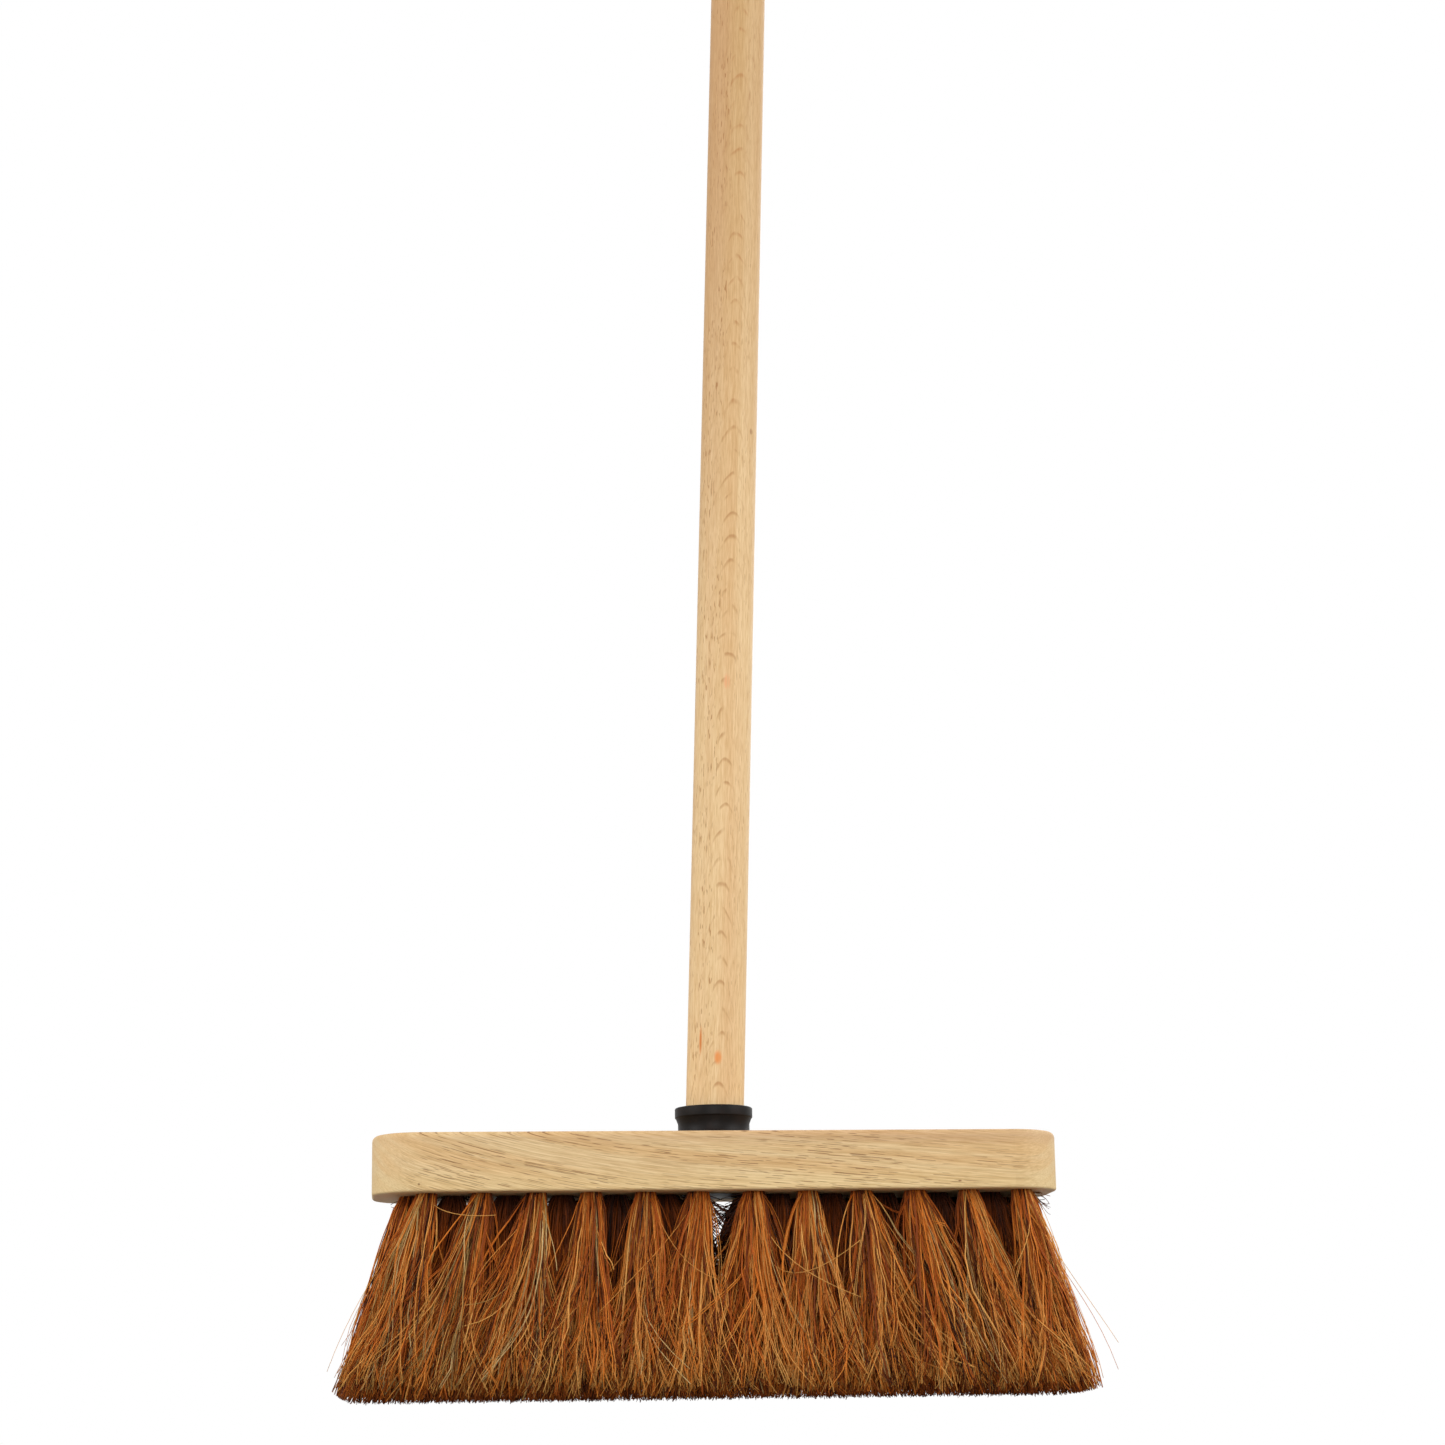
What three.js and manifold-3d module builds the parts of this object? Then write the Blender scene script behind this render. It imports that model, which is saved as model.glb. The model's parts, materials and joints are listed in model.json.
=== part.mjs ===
// A push broom with a flat beech head, staple-set coir tufts, a black plastic socket and a round handle.
// Lengths are in millimetres. The floor is z = 0, +X runs along the head and -Y is its front.
import * as THREE from "three";
import { mergeGeometries, mergeVertices } from "three/addons/utils/BufferGeometryUtils.js";
import Module from "manifold-3d";

const wasm = await Module();
wasm.setup();

// Clearances
const fit = 0.3; // between pieces that seat on or in each other
const overrun = 2; // how far a cutter runs past the face that it opens

// Stock, the wooden block of the head
const stockLength = 280;
const stockWidth = 60;
const stockThickness = 24;
const stockEndRadius = 20;
const stockEdgeRadius = 1.6;

// Tufts
const bristleLength = 82; // free length, from the underside of the stock to the floor
const tuftPitch = 22; // along a row
const rowShift = 3; // how far the rows lie to the +X side of the stock's middle
const tuftHoleDiameter = 9;
const woodOverHoles = 9; // left between the blind end of a tuft hole and the top of the stock
const woodBesideHoles = 3; // least wood between a tuft hole and the socket's hole
const woodBetweenHoles = 4; // least wood between the last two holes of a row
const rowSideSetback = 10.5; // outer row, from the long side of the stock
const outerEndSetback = 19; // last tuft of an outer row, from the end of the stock before the shift
const innerEndSetback = 12.5; // last tuft of an inner row, the same way
const endFlare = 17.5; // how far the last tufts of the inner rows lean outwards at the floor
const sideFlare = 8; // how far the outer rows lean outwards at the floor
const tipSpreadAlong = 8.8; // half the width that one tuft covers at the floor, along the row
const tipSpreadAcross = 8; // and across the row

// Strands, each one a lock of coir fibres
const strandsAroundTuft = 6; // round one in the middle
const strandRootRadius = 1;
const strandTipRadius = 0.7;
const strandRootCircle = 6.4; // diameter of the circle that a tuft's strands start on
const strandKneeHeight = 40; // where a strand bends a little, above the floor
const strandSink = 1; // how far a strand's root runs into the backing
const trimDepth = 0.5; // what the last cut takes off the tips, so that they stand flat
const kneeSpreadShare = 0.44; // of the spread at the tip that a strand has at its knee

// Backing, the strip of wood that the strands of a row grow out of
const backingDepth = 3;
const backingMargin = 5; // groove, from the middle of a tuft hole to its edge

// Folded root of a tuft, inside its hole
const foldLength = 4.6; // along the staple
const foldWidth = 7;
const foldThickness = 2.6; // of each half of the folded bundle

// Staples
const wireThickness = 1.2;
const stapleWidth = 7.6;
const stapleBite = 5; // how deep the points are driven past the blind end of the hole
const pointBevel = 0.9;

// Handle
const handleDiameter = 24;
const handleLength = 1200;
const handleDomeHeight = 8;
const handleEndDiameter = 21.2; // lower end of the tapered seat
const handleEndChamfer = 1;
const handleLean = 2.06; // degrees off square, towards +X

// Socket
const socketTubeDiameter = 27;
const socketFloor = 2.5;
const socketHeight = 12; // above the stock
const flangeDiameter = 32;
const flangeHeight = 4.4;
const flangeEdge = 0.5;
const flangeUndercut = 2.2; // height of the cone between the flange and the waist
const waistDiameter = 29.5;
const footDiameter = 31.4;
const footHeight = 1.8;
const ribHeight = 0.5;
const ribWidth = 1.6;
const ribCount = 6;
const mouthChamfer = 0.9;

// Facet counts; an arc in an outline gets twice its number
const stockArcFacets = 7;
const grooveArcFacets = 2;
const foldArcFacets = 2;
const boreArcFacets = 2;
const holeFacets = 10;
const roundFacets = 32;
const handleFacets = 28;
const domeFacets = 5;
const strandSides = 3;

// Places that follow from the sizes above
const halfLength = stockLength / 2;
const halfWidth = stockWidth / 2;
const cornerRadius = Math.min(stockEndRadius, halfWidth);
const tuftHoleRadius = tuftHoleDiameter / 2;
const tuftHoleDepth = stockThickness - woodOverHoles;
const outerRowPlace = halfWidth - rowSideSetback;
const innerRowPlace = outerRowPlace / 3; // four rows, evenly apart
const socketHoleRadius = socketTubeDiameter / 2 + fit;
const crotchHalf = wireThickness / 2 + fit;
const foldTop = tuftHoleDepth - fit;
const crownTop = foldTop - foldThickness - fit;
const seatDepth = stockThickness + socketHeight - socketFloor - fit;
const leanAngle = THREE.MathUtils.degToRad(handleLean);

// Finishes
const handleFinish = { color: 0xd9b88a, roughness: 0.55, metalness: 0 };
const stockFinish = { color: 0xd6b684, roughness: 0.6, metalness: 0 };
const socketFinish = { color: 0x242122, roughness: 0.42, metalness: 0 };
const coirFinish = { color: 0xa4571f, roughness: 0.85, metalness: 0 };
const wireFinish = { color: 0xb8b7b2, roughness: 0.35, metalness: 0.9 };

// A closed three.js geometry as a solid that can be joined and cut.
function solidFrom(geometry) {
  const bare = geometry.clone();
  bare.deleteAttribute("normal");
  bare.deleteAttribute("uv");
  const merged = mergeVertices(bare, 1e-4);
  return new wasm.Manifold(
    new wasm.Mesh({
      numProp: 3,
      vertProperties: merged.attributes.position.array,
      triVerts: new Uint32Array(merged.index.array),
    }),
  );
}

// A solid back as a geometry with flat facets.
function geometryFrom(solid) {
  const mesh = solid.getMesh();
  const shape = new THREE.BufferGeometry();
  shape.setAttribute("position", new THREE.BufferAttribute(mesh.vertProperties, mesh.numProp));
  shape.setIndex(new THREE.BufferAttribute(mesh.triVerts, 1));
  const facets = shape.toNonIndexed();
  facets.computeVertexNormals();
  return facets;
}

function joinedShapes(geometries) {
  return solidFrom(mergeGeometries(geometries.map((shape) => (shape.index ? shape.toNonIndexed() : shape))));
}

function namedMesh(name, geometry, finish) {
  const mesh = new THREE.Mesh(geometry, new THREE.MeshStandardMaterial(finish));
  mesh.name = name;
  return mesh;
}

// A rectangle with round corners, from one corner point to the opposite one.
function roundedRectangle(low, high, radius) {
  const outline = new THREE.Shape();
  outline.absarc(high.x - radius, low.y + radius, radius, -Math.PI / 2, 0);
  outline.absarc(high.x - radius, high.y - radius, radius, 0, Math.PI / 2);
  outline.absarc(low.x + radius, high.y - radius, radius, Math.PI / 2, Math.PI);
  outline.absarc(low.x + radius, low.y + radius, radius, Math.PI, Math.PI * 1.5);
  outline.closePath();
  return outline;
}

// A profile of [radius, height] points, turned round +Z.
function turned(points, facets) {
  const profile = points.map(([radius, height]) => new THREE.Vector2(radius, height));
  return new THREE.LatheGeometry(profile, facets).rotateX(Math.PI / 2);
}

// An upright cylinder from one height to another.
function uprightCylinder(radius, low, high, facets) {
  const height = high - low;
  const shape = new THREE.CylinderGeometry(radius, radius, height, facets);
  return shape.rotateX(Math.PI / 2).translate(0, 0, low + height / 2);
}

function boxBetween(low, high) {
  const size = new THREE.Vector3().subVectors(high, low);
  const middle = new THREE.Vector3().addVectors(high, low).multiplyScalar(0.5);
  return new THREE.BoxGeometry(size.x, size.y, size.z).translate(middle.x, middle.y, middle.z);
}

// Tuft places along one half of a row, from the row's middle towards one side (-1 or 1): a steady pitch,
// then a last tuft at its setback from the end. The first is further out where it has to clear the socket.
function placesAlongHalfRow(side, across, usual, endSetback) {
  const clearOfSocket = socketHoleRadius + tuftHoleRadius + woodBesideHoles;
  const reach = Math.sqrt(Math.max(clearOfSocket ** 2 - across ** 2, 0)) - side * rowShift;
  const last = halfLength - endSetback;
  const places = [];
  for (let place = usual; place <= last - tuftHoleDiameter - woodBetweenHoles; place += tuftPitch) {
    places.push(Math.max(place, reach));
  }
  places.push(last);
  return places.map((place) => rowShift + side * place);
}

// All the tufts of one row, from -X to +X.
function rowOfTufts(name, across, usual, endSetback) {
  const left = placesAlongHalfRow(-1, across, usual, endSetback).reverse();
  const right = placesAlongHalfRow(1, across, usual, endSetback);
  return [...left, ...right].map((place, index) => ({ row: name, number: index + 1, x: place, y: across }));
}

const frontRow = rowOfTufts("front_row", -outerRowPlace, tuftPitch / 2, outerEndSetback);
const frontInnerRow = rowOfTufts("front_inner_row", -innerRowPlace, tuftPitch, innerEndSetback);
const backInnerRow = rowOfTufts("back_inner_row", innerRowPlace, tuftPitch, innerEndSetback);
const backRow = rowOfTufts("back_row", outerRowPlace, tuftPitch / 2, outerEndSetback);
const innerRows = [...frontInnerRow, ...backInnerRow];
const allTufts = [...frontRow, ...innerRows, ...backRow];

// The tufts that share a backing strip
const bristleGroups = [
  { name: "front_bristles", tufts: frontRow },
  { name: "left_inner_bristles", tufts: innerRows.filter((tuft) => tuft.x < 0) },
  { name: "right_inner_bristles", tufts: innerRows.filter((tuft) => tuft.x > 0) },
  { name: "back_bristles", tufts: backRow },
];

// The rounded strip round a group of tufts, grown from their middles by a margin.
function stripOutline(tufts, margin) {
  const box = new THREE.Box2().setFromPoints(tufts.map((tuft) => new THREE.Vector2(tuft.x, tuft.y)));
  box.expandByScalar(margin);
  return roundedRectangle(box.min, box.max, margin);
}

// Staple, a wire hoop whose crown holds the fold and whose two points go up into the wood.
function stapleShape() {
  const outer = stapleWidth / 2;
  const inner = outer - wireThickness;
  const crownBottom = crownTop - wireThickness;
  const tip = tuftHoleDepth + stapleBite;
  const hoop = new THREE.Shape([
    new THREE.Vector2(-outer, crownBottom),
    new THREE.Vector2(outer, crownBottom),
    new THREE.Vector2(outer, tip),
    new THREE.Vector2(inner, tip - pointBevel),
    new THREE.Vector2(inner, crownTop),
    new THREE.Vector2(-inner, crownTop),
    new THREE.Vector2(-inner, tip - pointBevel),
    new THREE.Vector2(-outer, tip),
  ]);
  const wire = new THREE.ExtrudeGeometry(hoop, { depth: wireThickness, bevelEnabled: false });
  wire.translate(0, 0, -wireThickness / 2);
  const acrossTheHead = new THREE.Matrix4().makeBasis(
    new THREE.Vector3(0, 1, 0),
    new THREE.Vector3(0, 0, 1),
    new THREE.Vector3(1, 0, 0),
  );
  return wire.applyMatrix4(acrossTheHead);
}

// Folded root of a tuft: a hairpin over the staple's crown, standing on the backing strip.
function foldShape() {
  const outer = foldWidth / 2;
  const foot = backingDepth - fit - strandSink;
  const shoulder = foldTop - outer;
  const hairpin = new THREE.Shape();
  hairpin.moveTo(outer, foot);
  hairpin.absarc(0, shoulder, outer, 0, Math.PI);
  hairpin.lineTo(-outer, foot);
  hairpin.lineTo(-crotchHalf, foot);
  hairpin.lineTo(-crotchHalf, foldTop - foldThickness);
  hairpin.lineTo(crotchHalf, foldTop - foldThickness);
  hairpin.lineTo(crotchHalf, foot);
  const depth = foldLength;
  const bundle = new THREE.ExtrudeGeometry(hairpin, {
    depth,
    bevelEnabled: false,
    curveSegments: foldArcFacets,
  });
  return bundle.rotateX(Math.PI / 2).translate(0, depth / 2, 0);
}

// One strand, three rings of a few points: its root in the backing, its knee and its tip.
function strandShape(root, tip, turn) {
  const rootHeight = strandSink;
  const kneeHeight = strandKneeHeight - bristleLength;
  const tipHeight = -bristleLength - trimDepth;
  const knee = root.clone().lerp(tip, kneeSpreadShare);
  const kneeRadius = (strandRootRadius + strandTipRadius) / 2;
  const rings = [
    { middle: root, height: rootHeight, radius: strandRootRadius },
    { middle: knee, height: kneeHeight, radius: kneeRadius },
    { middle: tip, height: tipHeight, radius: strandTipRadius },
  ];
  const points = [];
  for (const ring of rings) {
    for (let side = 0; side < strandSides; side += 1) {
      const angle = turn + (side * 2 * Math.PI) / strandSides;
      const x = ring.middle.x + ring.radius * Math.cos(angle);
      const y = ring.middle.y + ring.radius * Math.sin(angle);
      points.push(x, y, ring.height);
    }
  }
  const faces = [];
  for (let ring = 0; ring < rings.length - 1; ring += 1) {
    for (let side = 0; side < strandSides; side += 1) {
      const next = (side + 1) % strandSides;
      const upper = ring * strandSides;
      const lower = upper + strandSides;
      faces.push(upper + side, lower + side, upper + next);
      faces.push(upper + next, lower + side, lower + next);
    }
  }
  const lastRing = (rings.length - 1) * strandSides;
  for (let side = 1; side < strandSides - 1; side += 1) {
    faces.push(0, side, side + 1);
    faces.push(lastRing, lastRing + side + 1, lastRing + side);
  }
  const shape = new THREE.BufferGeometry();
  shape.setAttribute("position", new THREE.Float32BufferAttribute(points, 3));
  shape.setIndex(faces);
  return shape;
}

// The strands of one tuft: one in the middle and the rest on a circle that fans out towards the floor.
// The rows lean back by their shift, so that the tips lie evenly about the stock's middle.
function strandsOfTuft(tuft) {
  const flareAlong = (endFlare * (tuft.x - rowShift)) / (halfLength - innerEndSetback) - rowShift;
  const flareAcross = (sideFlare * tuft.y) / outerRowPlace;
  const rootMiddle = new THREE.Vector2(tuft.x, tuft.y);
  const tipMiddle = new THREE.Vector2(tuft.x + flareAlong, tuft.y + flareAcross);
  const firstAngle = (tuft.number * Math.PI) / strandsAroundTuft;
  const strands = [strandShape(rootMiddle, tipMiddle, firstAngle)];
  for (let index = 0; index < strandsAroundTuft; index += 1) {
    const angle = firstAngle + (index * 2 * Math.PI) / strandsAroundTuft;
    const direction = new THREE.Vector2(Math.cos(angle), Math.sin(angle));
    const root = rootMiddle.clone().addScaledVector(direction, strandRootCircle / 2);
    const reach = new THREE.Vector2(tipSpreadAlong, tipSpreadAcross).multiply(direction);
    strands.push(strandShape(root, tipMiddle.clone().add(reach), angle));
  }
  return strands;
}

// Everything below the trimming line, which the last cut takes off.
function trimmings() {
  const reachAlong = halfLength + endFlare + tipSpreadAlong + overrun;
  const reachAcross = halfWidth + sideFlare + tipSpreadAcross + overrun;
  const low = new THREE.Vector3(-reachAlong, -reachAcross, -bristleLength - trimDepth - overrun);
  const high = new THREE.Vector3(reachAlong, reachAcross, -bristleLength);
  return solidFrom(boxBetween(low, high));
}

// A backing strip with the strands below it and the folded roots above it, from the stock's underside.
// Where the strip would run into the socket, it goes round it.
function bristleShape(tufts) {
  const strip = new THREE.ExtrudeGeometry(stripOutline(tufts, backingMargin - fit), {
    depth: backingDepth - fit,
    bevelEnabled: false,
    curveSegments: grooveArcFacets,
  });
  const roundSocket = uprightCylinder(socketHoleRadius, -overrun, backingDepth + overrun, roundFacets);
  const backing = solidFrom(strip).subtract(solidFrom(roundSocket));
  const folds = joinedShapes(tufts.map((tuft) => foldShape().translate(tuft.x, tuft.y, 0)));
  const strands = joinedShapes(tufts.flatMap(strandsOfTuft));
  const whole = backing.add(folds).add(strands);
  return geometryFrom(whole.subtract(trimmings()));
}

// Tuft holes, blind, from the underside of the stock.
function tuftHoles() {
  return joinedShapes(
    allTufts.map((tuft) => {
      const hole = uprightCylinder(tuftHoleRadius, -overrun, tuftHoleDepth, holeFacets);
      return hole.translate(tuft.x, tuft.y, 0);
    }),
  );
}

// Slits that the staple points have made in the wood past the blind ends.
function stapleSlits() {
  const outer = stapleWidth / 2 + fit;
  const inner = stapleWidth / 2 - wireThickness - fit;
  const bottom = tuftHoleDepth - fit;
  const top = tuftHoleDepth + stapleBite + fit;
  const slits = allTufts.flatMap((tuft) =>
    [-1, 1].map((side) => {
      const low = new THREE.Vector3(-crotchHalf, Math.min(side * inner, side * outer), bottom);
      const high = new THREE.Vector3(crotchHalf, Math.max(side * inner, side * outer), top);
      return boxBetween(low, high).translate(tuft.x, tuft.y, 0);
    }),
  );
  return joinedShapes(slits);
}

// Grooves that the backing strips lie in, flush with the underside.
function backingGrooves() {
  return joinedShapes(
    bristleGroups.map(({ tufts }) => {
      const groove = new THREE.ExtrudeGeometry(stripOutline(tufts, backingMargin), {
        depth: backingDepth + overrun,
        bevelEnabled: false,
        curveSegments: grooveArcFacets,
      });
      return groove.translate(0, 0, -overrun);
    }),
  );
}

// Stock, from its underside up: a rounded block with eased edges, drilled for the tufts and the socket.
function stockShape() {
  const low = new THREE.Vector2(-halfLength, -halfWidth);
  const high = new THREE.Vector2(halfLength, halfWidth);
  const block = new THREE.ExtrudeGeometry(roundedRectangle(low, high, cornerRadius), {
    depth: stockThickness - 2 * stockEdgeRadius,
    bevelEnabled: true,
    bevelThickness: stockEdgeRadius,
    bevelSize: stockEdgeRadius,
    bevelOffset: -stockEdgeRadius,
    bevelSegments: 2,
    curveSegments: stockArcFacets,
  });
  block.translate(0, 0, stockEdgeRadius);
  const top = stockThickness + overrun;
  const socketHole = uprightCylinder(socketHoleRadius, -overrun, top, roundFacets);
  const drilled = solidFrom(block).subtract(solidFrom(socketHole)).subtract(tuftHoles());
  return geometryFrom(drilled.subtract(stapleSlits()).subtract(backingGrooves()));
}

// The handle's lower end in the stock's frame: it leans about the middle of its seat.
function seatMatrix() {
  const seatBottom = socketFloor + fit;
  const toSeat = new THREE.Matrix4().makeTranslation(0, 0, seatBottom + seatDepth / 2);
  const lean = new THREE.Matrix4().makeRotationY(leanAngle);
  const toEnd = new THREE.Matrix4().makeTranslation(0, 0, -seatDepth / 2);
  return toSeat.multiply(lean).multiply(toEnd);
}

// Radius of the tapered seat at a height above the handle's lower end.
function seatRadius(height) {
  return THREE.MathUtils.lerp(handleEndDiameter, handleDiameter, height / seatDepth) / 2;
}

// Tapered bore with grip ribs left standing along it.
function boreShape() {
  const bottom = -fit;
  const top = seatDepth + overrun;
  const mouthRadius = seatRadius(seatDepth) + fit + ribHeight;
  const ribHalfAngle = Math.asin(ribWidth / 2 / mouthRadius);
  const outline = new THREE.Shape();
  for (let rib = 0; rib < ribCount; rib += 1) {
    const from = (rib * 2 * Math.PI) / ribCount + ribHalfAngle;
    const to = ((rib + 1) * 2 * Math.PI) / ribCount - ribHalfAngle;
    outline.absarc(0, 0, mouthRadius, from, to);
    outline.absarc(0, 0, mouthRadius - ribHeight, to, to + 2 * ribHalfAngle);
  }
  outline.closePath();
  const bore = new THREE.ExtrudeGeometry(outline, {
    depth: top - bottom,
    bevelEnabled: false,
    curveSegments: boreArcFacets,
  });
  bore.translate(0, 0, bottom);
  const points = bore.attributes.position;
  for (let index = 0; index < points.count; index += 1) {
    const narrowing = seatRadius(seatDepth) - seatRadius(points.getZ(index));
    const reach = Math.hypot(points.getX(index), points.getY(index));
    const share = (reach - narrowing) / reach;
    points.setXY(index, points.getX(index) * share, points.getY(index) * share);
  }
  return bore.applyMatrix4(seatMatrix());
}

// Socket, from the stock's underside up: a tube through the stock, a foot on it, a waist and a flange.
function socketShape() {
  const rim = stockThickness + socketHeight;
  const tubeRadius = socketTubeDiameter / 2;
  const footRadius = footDiameter / 2;
  const waistRadius = waistDiameter / 2;
  const flangeRadius = flangeDiameter / 2;
  const footTop = stockThickness + footHeight;
  const flangeBottom = rim - flangeHeight;
  const outside = [
    [0, 0],
    [tubeRadius, 0],
    [tubeRadius, stockThickness],
    [footRadius, stockThickness],
    [(footRadius + waistRadius) / 2, stockThickness + footHeight / 2],
    [waistRadius, footTop],
    [waistRadius, flangeBottom - flangeUndercut],
    [flangeRadius - flangeEdge, flangeBottom],
    [flangeRadius, flangeBottom + flangeEdge],
    [flangeRadius, rim - flangeEdge],
    [flangeRadius - flangeEdge, rim],
    [0, rim],
  ];
  const mouthRadius = seatRadius(seatDepth) + fit + ribHeight;
  const leadIn = turned(
    [
      [0, -mouthChamfer],
      [mouthRadius, -mouthChamfer],
      [mouthRadius + mouthChamfer + overrun, overrun],
      [0, overrun],
    ],
    roundFacets,
  );
  leadIn.translate(0, 0, seatDepth).applyMatrix4(seatMatrix());
  const body = solidFrom(turned(outside, roundFacets));
  return geometryFrom(body.subtract(solidFrom(boreShape())).subtract(solidFrom(leadIn)));
}

// Handle, from its lower end up: a tapered seat, a round bar and a domed top.
function handleShape() {
  const barRadius = handleDiameter / 2;
  const domeBottom = handleLength - handleDomeHeight;
  const profile = [
    [0, 0],
    [seatRadius(0) - handleEndChamfer, 0],
    [seatRadius(handleEndChamfer), handleEndChamfer],
    [barRadius, seatDepth],
  ];
  for (let step = 0; step < domeFacets; step += 1) {
    const angle = (step * Math.PI) / 2 / domeFacets;
    profile.push([barRadius * Math.cos(angle), domeBottom + handleDomeHeight * Math.sin(angle)]);
  }
  profile.push([0, handleLength]);
  return turned(profile, handleFacets);
}

// Head: everything that stays together when the handle is pulled out.
const head = new THREE.Group();
head.position.z = bristleLength;
head.add(namedMesh("stock", stockShape(), stockFinish));
head.add(namedMesh("socket", socketShape(), socketFinish));
for (const { name, tufts } of bristleGroups) {
  head.add(namedMesh(name, bristleShape(tufts), coirFinish));
}
for (const tuft of allTufts) {
  const staple = namedMesh(`${tuft.row}_staple_${tuft.number}`, stapleShape(), wireFinish);
  staple.position.set(tuft.x, tuft.y, 0);
  head.add(staple);
}

const handle = namedMesh("handle", handleShape(), handleFinish);
handle.applyMatrix4(seatMatrix());
head.add(handle);

const broom = new THREE.Group();
broom.add(head);

export default broom;
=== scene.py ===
import json
import math

import bmesh
import bpy
import numpy as np
from mathutils import Matrix, Quaternion, Vector


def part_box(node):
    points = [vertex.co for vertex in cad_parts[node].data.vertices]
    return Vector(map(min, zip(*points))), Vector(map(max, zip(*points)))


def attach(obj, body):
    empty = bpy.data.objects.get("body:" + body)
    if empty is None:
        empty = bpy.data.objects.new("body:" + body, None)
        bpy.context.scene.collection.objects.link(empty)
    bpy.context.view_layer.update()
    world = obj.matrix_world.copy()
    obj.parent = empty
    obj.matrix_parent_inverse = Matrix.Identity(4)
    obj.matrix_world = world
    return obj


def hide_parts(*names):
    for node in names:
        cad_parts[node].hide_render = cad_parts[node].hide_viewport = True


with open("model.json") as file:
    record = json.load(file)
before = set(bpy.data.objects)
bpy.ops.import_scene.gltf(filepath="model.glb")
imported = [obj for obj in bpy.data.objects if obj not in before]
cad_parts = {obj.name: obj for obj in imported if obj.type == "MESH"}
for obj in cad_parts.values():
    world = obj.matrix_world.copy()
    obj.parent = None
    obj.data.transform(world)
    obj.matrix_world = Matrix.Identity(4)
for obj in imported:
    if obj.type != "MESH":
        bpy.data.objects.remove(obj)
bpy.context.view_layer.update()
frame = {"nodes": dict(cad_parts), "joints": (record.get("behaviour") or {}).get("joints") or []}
scene = bpy.context.scene
scene.view_settings.view_transform = "Standard"
mm = 0.001
weldDistance = 1e-6
print("frame loaded,", len(frame["nodes"]), "nodes")


def addObject(name, data):
    added = bpy.data.objects.new(name, data)
    scene.collection.objects.link(added)
    return added


# camera: the photograph's low viewpoint, just under the bristle tips
camera = {
    "azimuth": -5.863,
    "elevation": -13.103,
    "roll": -0.909,
    "target": (0.006293, 0, 0.28171),
    "distance": 1.36888,
    "lens": 80.27,
    "sensor": 36,
    "clip": (0.05, 50),
}


def setCamera():
    turn, lift = math.radians(camera["azimuth"]), math.radians(camera["elevation"])
    back = Vector((math.sin(turn) * math.cos(lift), -math.cos(turn) * math.cos(lift), math.sin(lift)))
    lens = bpy.data.cameras.new("photoCamera")
    lens.lens, lens.sensor_width = camera["lens"], camera["sensor"]
    lens.clip_start, lens.clip_end = camera["clip"]
    view = addObject("photoCamera", lens)
    view.rotation_mode = "QUATERNION"
    view.location = Vector(camera["target"]) + back * camera["distance"]
    roll = Quaternion((0, 0, 1), math.radians(camera["roll"]))
    view.rotation_quaternion = back.to_track_quat("Z", "Y") @ roll
    scene.camera = view


setCamera()


# node helpers
def paint(red, green, blue):
    # 0 to 255 as on a colour chart, turned to the linear values that a shader takes
    shares = [value / 255 for value in (red, green, blue)]
    linear = [s / 12.92 if s <= 0.04045 else ((s + 0.055) / 1.055) ** 2.4 for s in shares]
    return (*linear, 1)


def newMaterial(name):
    material = bpy.data.materials.new(name)
    material.use_nodes = True
    tree = material.node_tree
    return material, tree, tree.nodes["Principled BSDF"]


def put(tree, kind, inputs, **settings):
    node = tree.nodes.new("ShaderNode" + kind)
    for name, value in settings.items():
        setattr(node, name, value)
    for name, value in inputs.items():
        if isinstance(value, bpy.types.NodeSocket):
            tree.links.new(value, node.inputs[name])
        else:
            node.inputs[name].default_value = value
    return node


def calc(tree, operation, first, second=0.0):
    return put(tree, "Math", {0: first, 1: second}, operation=operation).outputs[0]


def scaled(tree, value, factor, shift):
    return put(tree, "Math", {0: value, 1: factor, 2: shift}, operation="MULTIPLY_ADD").outputs[0]


def product(tree, *factors):
    whole = factors[0]
    for factor in factors[1:]:
        whole = calc(tree, "MULTIPLY", whole, factor)
    return whole


def between(tree, value, low, high, fromValue=0.0, toValue=1.0):
    # eases from one value to the other as the input goes from low to high
    names = {"Value": value, "From Min": low, "From Max": high, "To Min": fromValue, "To Max": toValue}
    return put(tree, "MapRange", names, interpolation_type="SMOOTHSTEP").outputs["Result"]


def mixPaint(tree, share, base, layer, blend="MIX"):
    inputs = {0: share, 6: base, 7: layer}
    return put(tree, "Mix", inputs, data_type="RGBA", blend_type=blend).outputs[2]


def ramp(tree, value, *stops):
    node = put(tree, "ValToRGB", {"Fac": value})
    points = node.color_ramp.elements
    while len(points) < len(stops):
        points.new(0.5)
    for point, (position, colour) in zip(points, stops):
        point.position = position
        point.color = colour
    return node.outputs["Color"]


def noiseAt(tree, point, stretch, detail, roughness, shift):
    # stretch is how many grains there are to a metre along each axis
    place = put(tree, "Mapping", {"Vector": point, "Scale": stretch, "Location": shift})
    inputs = {"Vector": place.outputs[0], "Scale": 1, "Detail": detail, "Roughness": roughness}
    return put(tree, "TexNoise", inputs).outputs["Fac"]


def objectPlace(tree, location=(0, 0, 0), rotation=(0, 0, 0)):
    coordinate = put(tree, "TexCoord", {}).outputs["Object"]
    inputs = {"Vector": coordinate, "Location": location, "Rotation": rotation}
    return put(tree, "Mapping", inputs, vector_type="TEXTURE").outputs[0]


def shadedBy(tree, share, base, value, low, high, shadow):
    # multiplies in a shadow colour where the value is low
    shade = ramp(tree, value, (low, shadow), (high, paint(255, 255, 255)))
    return mixPaint(tree, share, base, shade, "MULTIPLY")


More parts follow.
